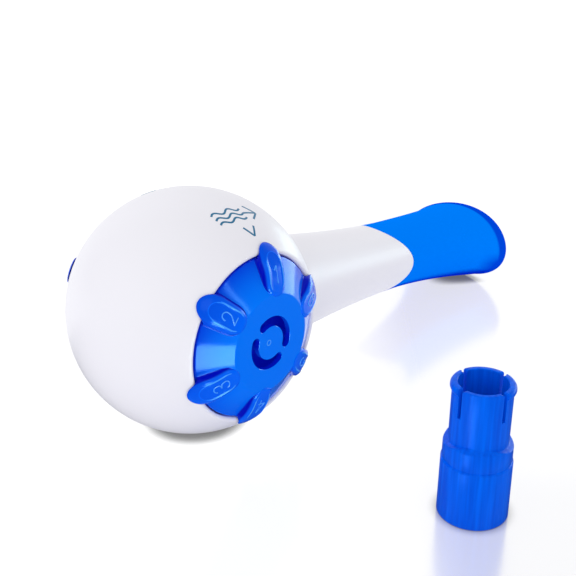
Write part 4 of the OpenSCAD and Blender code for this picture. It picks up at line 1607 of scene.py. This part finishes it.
@dataclass
class Studio:
    """Camera, table and light, as in the photograph."""

    device: Device
    lens: float = 62.5
    sensor: float = 36.0
    distance: float = 263.925
    aim_right: float = 25.562
    aim_up: float = 5.602
    elevation: float = 24.814
    heading: float = 48.565
    table_lift: float = 1.05
    table_gloss: float = 0.32
    front_gloss: float = 1.5
    fill: float = 0.12
    front_at: Flat = (-0.03, -0.06)
    polish_at: Flat = (-0.02, 0.012)
    polish_low: float = 0.1
    mirror_at: Flat = (0.2, 0.12)
    bright_from: Flat = (-0.005, 0.025)
    contact_mm: float = 3.8
    contact_at: Flat = (0.3, 0.93)
    contact_low: float = 0.2
    surround: float = 0.96
    left_more: float = 0.22
    room: float = 0.05
    ahead_at: Flat = (0.3, 0.75)
    card_tint: tuple[float, float, float, float] = (0.8, 1, 1, 1)

    def camera(self) -> bpy.types.Object:
        """Makes the camera at the photograph's viewing angle."""
        e, b = math.radians(self.elevation), math.radians(self.heading)
        right = Vector((math.cos(b), -math.sin(b), 0))
        ahead = Vector((math.sin(b) * math.cos(e), math.cos(b) * math.cos(e), -math.sin(e)))
        up = Vector((math.sin(b) * math.sin(e), math.cos(b) * math.sin(e), math.cos(e)))
        data = bpy.data.cameras.new("camera")
        data.lens, data.sensor_width = self.lens, self.sensor
        data.clip_start, data.clip_end = 0.01, 50
        made = bpy.data.objects.new("camera", data)
        bpy.context.scene.collection.objects.link(made)
        made.location = self.device.centre + MM * (
            self.aim_right * right + self.aim_up * up - self.distance * ahead
        )
        made.rotation_mode = "QUATERNION"
        made.rotation_quaternion = Matrix((right, up, -ahead)).transposed().to_quaternion()
        bpy.context.scene.camera = made
        return made

    def table(self) -> None:
        """Makes the pale glossy table, white to the camera except in the object's shadow, which is mostly a
        painted contact shadow from ambient occlusion over a little real shade.

        It is polished most near the object, to the right and in front. Polished pieces mirror it
        bright beyond the object and dark before it.
        """
        half = 6.0
        mesh = bpy.data.meshes.new("table")
        mesh.from_pydata([(-half, -half, 0), (half, -half, 0), (half, half, 0), (-half, half, 0)], [],
                         [(0, 1, 2, 3)])
        made = bpy.data.objects.new("table", mesh)
        bpy.context.scene.collection.objects.link(made)
        made.location = (0, 0, -0.0001)
        surface = bpy.data.materials.new("white glossy table")
        surface.use_nodes = True
        tree = surface.node_tree
        shader = tree.nodes["Principled BSDF"]
        shader.inputs["Specular IOR Level"].default_value = 0.0
        shader.inputs["Roughness"].default_value = 1.0
        path = add(tree, "ShaderNodeLightPath")
        # Painted contact shadow: the table's glow and colour darken where ambient occlusion finds the object
        # near
        near = add(tree, "ShaderNodeAmbientOcclusion", {"Distance": self.contact_mm * MM}, samples=16)
        clear = add(tree, "ShaderNodeMapRange", {
            "Value": near.outputs["AO"],
            "From Min": self.contact_at[0], "From Max": self.contact_at[1],
            "To Min": self.contact_low, "To Max": 1.0,
        }, interpolation_type="SMOOTHSTEP")
        open_ = add(tree, "ShaderNodeMix", {
            "Factor": clear.outputs[0], 6: (0, 0, 0, 1), 7: (0.12, 0.12, 0.12, 1),
        }, data_type="RGBA")
        far = add(tree, "ShaderNodeMix", {
            "Factor": path.outputs["Is Glossy Ray"], 6: (0.92, 0.92, 0.96, 1), 7: (0.08, 0.09, 0.1, 1),
        }, data_type="RGBA")
        shade = add(tree, "ShaderNodeMix", {
            "Factor": path.outputs["Is Camera Ray"], 6: far.outputs[2], 7: open_.outputs[2],
        }, data_type="RGBA")
        tree.links.new(shade.outputs[2], shader.inputs["Base Color"])
        seen = add(tree, "ShaderNodeMath", {
            0: path.outputs["Is Camera Ray"], 1: path.outputs["Is Transmission Ray"],
        }, operation="MAXIMUM")
        heading = math.radians(self.heading)
        place = add(tree, "ShaderNodeTexCoord")
        away = add(tree, "ShaderNodeVectorMath", {
            0: place.outputs["Object"], 1: (math.sin(heading), math.cos(heading), 0),
        }, operation="DOT_PRODUCT")
        ahead = add(tree, "ShaderNodeMapRange", {
            "Value": away.outputs["Value"],
            "From Min": self.bright_from[0], "From Max": self.bright_from[1],
        }, interpolation_type="SMOOTHSTEP")
        mirrored = add(tree, "ShaderNodeMath", {
            0: path.outputs["Is Glossy Ray"], 1: ahead.outputs[0],
        }, operation="MULTIPLY")
        seen = add(tree, "ShaderNodeMath", {0: seen.outputs[0], 1: mirrored.outputs[0]}, operation="MAXIMUM")
        fill = add(tree, "ShaderNodeMath", {
            0: path.outputs["Is Diffuse Ray"], 1: self.fill,
        }, operation="MULTIPLY")
        seen = add(tree, "ShaderNodeMath", {0: seen.outputs[0], 1: fill.outputs[0]}, operation="MAXIMUM")
        lift = add(tree, "ShaderNodeMath", {0: seen.outputs[0], 1: self.table_lift}, operation="MULTIPLY")
        lift = add(tree, "ShaderNodeMath", {0: lift.outputs[0], 1: clear.outputs[0]}, operation="MULTIPLY")
        tree.links.new(lift.outputs[0], shader.inputs["Emission Strength"])
        shader.inputs["Emission Color"].default_value = (1, 1, 1, 1)
        gloss = add(tree, "ShaderNodeBsdfGlossy", {"Roughness": 0.18})
        across = add(tree, "ShaderNodeVectorMath", {
            0: place.outputs["Object"], 1: (math.cos(heading), -math.sin(heading), 0),
        }, operation="DOT_PRODUCT")
        polish = add(tree, "ShaderNodeMapRange", {
            "Value": across.outputs["Value"],
            "From Min": self.polish_at[0], "From Max": self.polish_at[1],
            "To Min": self.polish_low, "To Max": self.table_gloss,
        }, interpolation_type="SMOOTHSTEP")
        share = add(tree, "ShaderNodeMath", {
            0: path.outputs["Is Camera Ray"], 1: polish.outputs[0],
        }, operation="MULTIPLY")
        far_off = add(tree, "ShaderNodeVectorMath", {0: place.outputs["Object"]}, operation="LENGTH")
        around = add(tree, "ShaderNodeMapRange", {
            "Value": far_off.outputs["Value"],
            "From Min": self.mirror_at[0], "From Max": self.mirror_at[1],
        }, interpolation_type="SMOOTHSTEP")
        share = add(tree, "ShaderNodeMath", {0: share.outputs[0], 1: around.outputs[0]}, operation="MULTIPLY")
        front = add(tree, "ShaderNodeMapRange", {
            "Value": away.outputs["Value"],
            "From Min": self.front_at[0], "From Max": self.front_at[1],
            "To Min": 1.0, "To Max": self.front_gloss,
        }, interpolation_type="SMOOTHSTEP")
        share = add(tree, "ShaderNodeMath", {0: share.outputs[0], 1: front.outputs[0]}, operation="MULTIPLY")
        both = add(tree, "ShaderNodeMixShader", {
            0: share.outputs[0], 1: shader.outputs[0], 2: gloss.outputs[0],
        })
        tree.links.new(both.outputs[0], tree.nodes["Material Output"].inputs["Surface"])
        mesh.materials.append(surface)

    def light(self) -> None:
        """Lights the object softly from above, with a plain white surround.

        Polished surfaces mirror the white backdrop ahead, and little of the room behind the camera.
        """
        world = bpy.data.worlds.new("studio")
        bpy.context.scene.world = world
        world.use_nodes = True
        tree = world.node_tree
        back = tree.nodes["Background"]
        path = add(tree, "ShaderNodeLightPath")
        seen = add(tree, "ShaderNodeMath", {
            0: path.outputs["Is Camera Ray"], 1: path.outputs["Is Transmission Ray"],
        }, operation="MAXIMUM")
        heading = math.radians(self.heading)
        way = add(tree, "ShaderNodeTexCoord")
        leftward = add(tree, "ShaderNodeVectorMath", {
            0: way.outputs["Generated"], 1: (-math.cos(heading), math.sin(heading), 0),
        }, operation="DOT_PRODUCT")
        around = add(tree, "ShaderNodeMapRange", {
            "Value": leftward.outputs["Value"], "From Min": -1.0, "From Max": 1.0,
            "To Min": self.surround - self.left_more, "To Max": self.surround + self.left_more,
        })
        strength = add(tree, "ShaderNodeMix", {
            "Factor": seen.outputs[0], 2: around.outputs[0], 3: 1.0,
        }, data_type="FLOAT")
        facing = add(tree, "ShaderNodeVectorMath", {
            0: way.outputs["Generated"], 1: (math.sin(heading), math.cos(heading), 0),
        }, operation="DOT_PRODUCT")
        ahead = add(tree, "ShaderNodeMapRange", {
            "Value": facing.outputs["Value"],
            "From Min": self.ahead_at[0], "From Max": self.ahead_at[1],
            "To Min": self.room, "To Max": 1.0,
        }, interpolation_type="SMOOTHSTEP")
        mirrored = add(tree, "ShaderNodeMix", {
            "Factor": path.outputs["Is Glossy Ray"], 2: strength.outputs[0], 3: ahead.outputs[0],
        }, data_type="FLOAT")
        tint = add(tree, "ShaderNodeMix", {
            "Factor": seen.outputs[0], 6: (0.965, 0.965, 1, 1), 7: (1, 1, 1, 1),
        }, data_type="RGBA")
        tree.links.new(tint.outputs[2], back.inputs["Color"])
        tree.links.new(mirrored.outputs[0], back.inputs["Strength"])
        self.panel("key panel", (-0.65, -0.75, 0.75), 0.5, 0.7)
        self.panel("left panel", (-1.0, 0.15, 0.5), 0.5, 0.3)
        skirt = self.device.centre + Vector((-0.002, -0.026, 0.012))
        self.card("right card", skirt, (0.97, -0.15, 0.03), 0.5, (0.5, 0.14), 5.0)
        self.card("strip card", skirt, (0.12, -0.878, 0.447), 0.6, (0.03, 0.3), 7.0)
        left = self.device.centre + Vector((-0.017, -0.026, -0.002))
        self.card("low card", left, (-0.26, -0.8, -0.4), 0.058, (0.045, 0.044), 14.0)

    def panel(self, name: str, at: Point, size: float, watts: float) -> None:
        """Hangs one soft light that faces the object.

        Args:
            name: its name.
            at: its place in metres.
            size: its side in metres.
            watts: its power.
        """
        data = bpy.data.lights.new(name, "AREA")
        data.shape, data.size, data.energy = "SQUARE", size, watts
        made = bpy.data.objects.new(name, data)
        bpy.context.scene.collection.objects.link(made)
        made.location = at
        made.rotation_mode = "QUATERNION"
        made.rotation_quaternion = (-Vector(at)).to_track_quat("-Z", "Y")

    def card(
        self, name: str, seen_from: Vector, ahead: Point, distance: float, size: Flat, strength: float,
    ) -> None:
        """Holds a bright card that only polished surfaces see, as a highlight.

        Args:
            name: its name.
            seen_from: the place that it faces.
            ahead: the direction from there to the card.
            distance: how far away it is, in metres.
            size: its width and height in metres.
            strength: its brightness.
        """
        w, h = size[0] / 2, size[1] / 2
        mesh = bpy.data.meshes.new(name)
        mesh.from_pydata([(-w, -h, 0), (w, -h, 0), (w, h, 0), (-w, h, 0)], [], [(0, 1, 2, 3)])
        made = bpy.data.objects.new(name, mesh)
        bpy.context.scene.collection.objects.link(made)
        away = Vector(ahead).normalized()
        made.location = seen_from + distance * away
        made.rotation_mode = "QUATERNION"
        made.rotation_quaternion = away.to_track_quat("Z", "Y")
        glow = bpy.data.materials.new(name)
        glow.use_nodes = True
        tree = glow.node_tree
        tree.nodes.remove(tree.nodes["Principled BSDF"])
        light = add(tree, "ShaderNodeEmission", {"Color": self.card_tint, "Strength": strength})
        behind = add(tree, "ShaderNodeBsdfTransparent")
        facing = add(tree, "ShaderNodeNewGeometry")
        both = add(tree, "ShaderNodeMixShader", {
            0: facing.outputs["Backfacing"], 1: behind.outputs[0], 2: light.outputs[0],
        })
        tree.links.new(both.outputs[0], tree.nodes["Material Output"].inputs["Surface"])
        mesh.materials.append(glow)
        made.visible_camera = made.visible_diffuse = made.visible_shadow = False
        made.visible_transmission = False

    def build(self) -> None:
        """Sets the stage."""
        self.camera()
        self.table()
        self.light()
        bpy.context.scene.view_settings.view_transform = "Standard"


def adapter_place() -> Matrix:
    """Returns where the adapter stands, in metres, from the middle of its plain solid."""
    solid = frame["nodes"]["adapter"]
    points = [solid.matrix_world @ v.co for v in solid.data.vertices]
    x, y = ((min(p[k] for p in points) + max(p[k] for p in points)) / 2 for k in (0, 1))
    return Matrix.Translation((x, y, 0)) @ Matrix.Rotation(math.radians(-59), 4, "Z")


def dress_cad() -> None:
    """Gives the CAD's own pieces that stay their real materials."""
    for node, finish in CAD_FINISHES.items():
        made = frame["nodes"][node]
        for slot_ in made.material_slots:
            slot_.material = finish.material()
        LOG.info("%s: %s", node, finish.name)


def main() -> None:
    """Builds the stage and every piece in order."""
    logging.basicConfig(level=logging.INFO, format="%(message)s")
    device = Device()
    Studio(device).build()
    Shell(device).build()
    Dial(device, 0, -3, "inhale").build()
    Dial(device, 180, -9, "exhale").build()
    Mouthpiece(device).build()
    Adapter(adapter_place()).build()
    Print(device, 0, "inhale").build()
    Print(device, 180, "exhale").build()
    dress_cad()


if __name__ == "__main__":
    main()
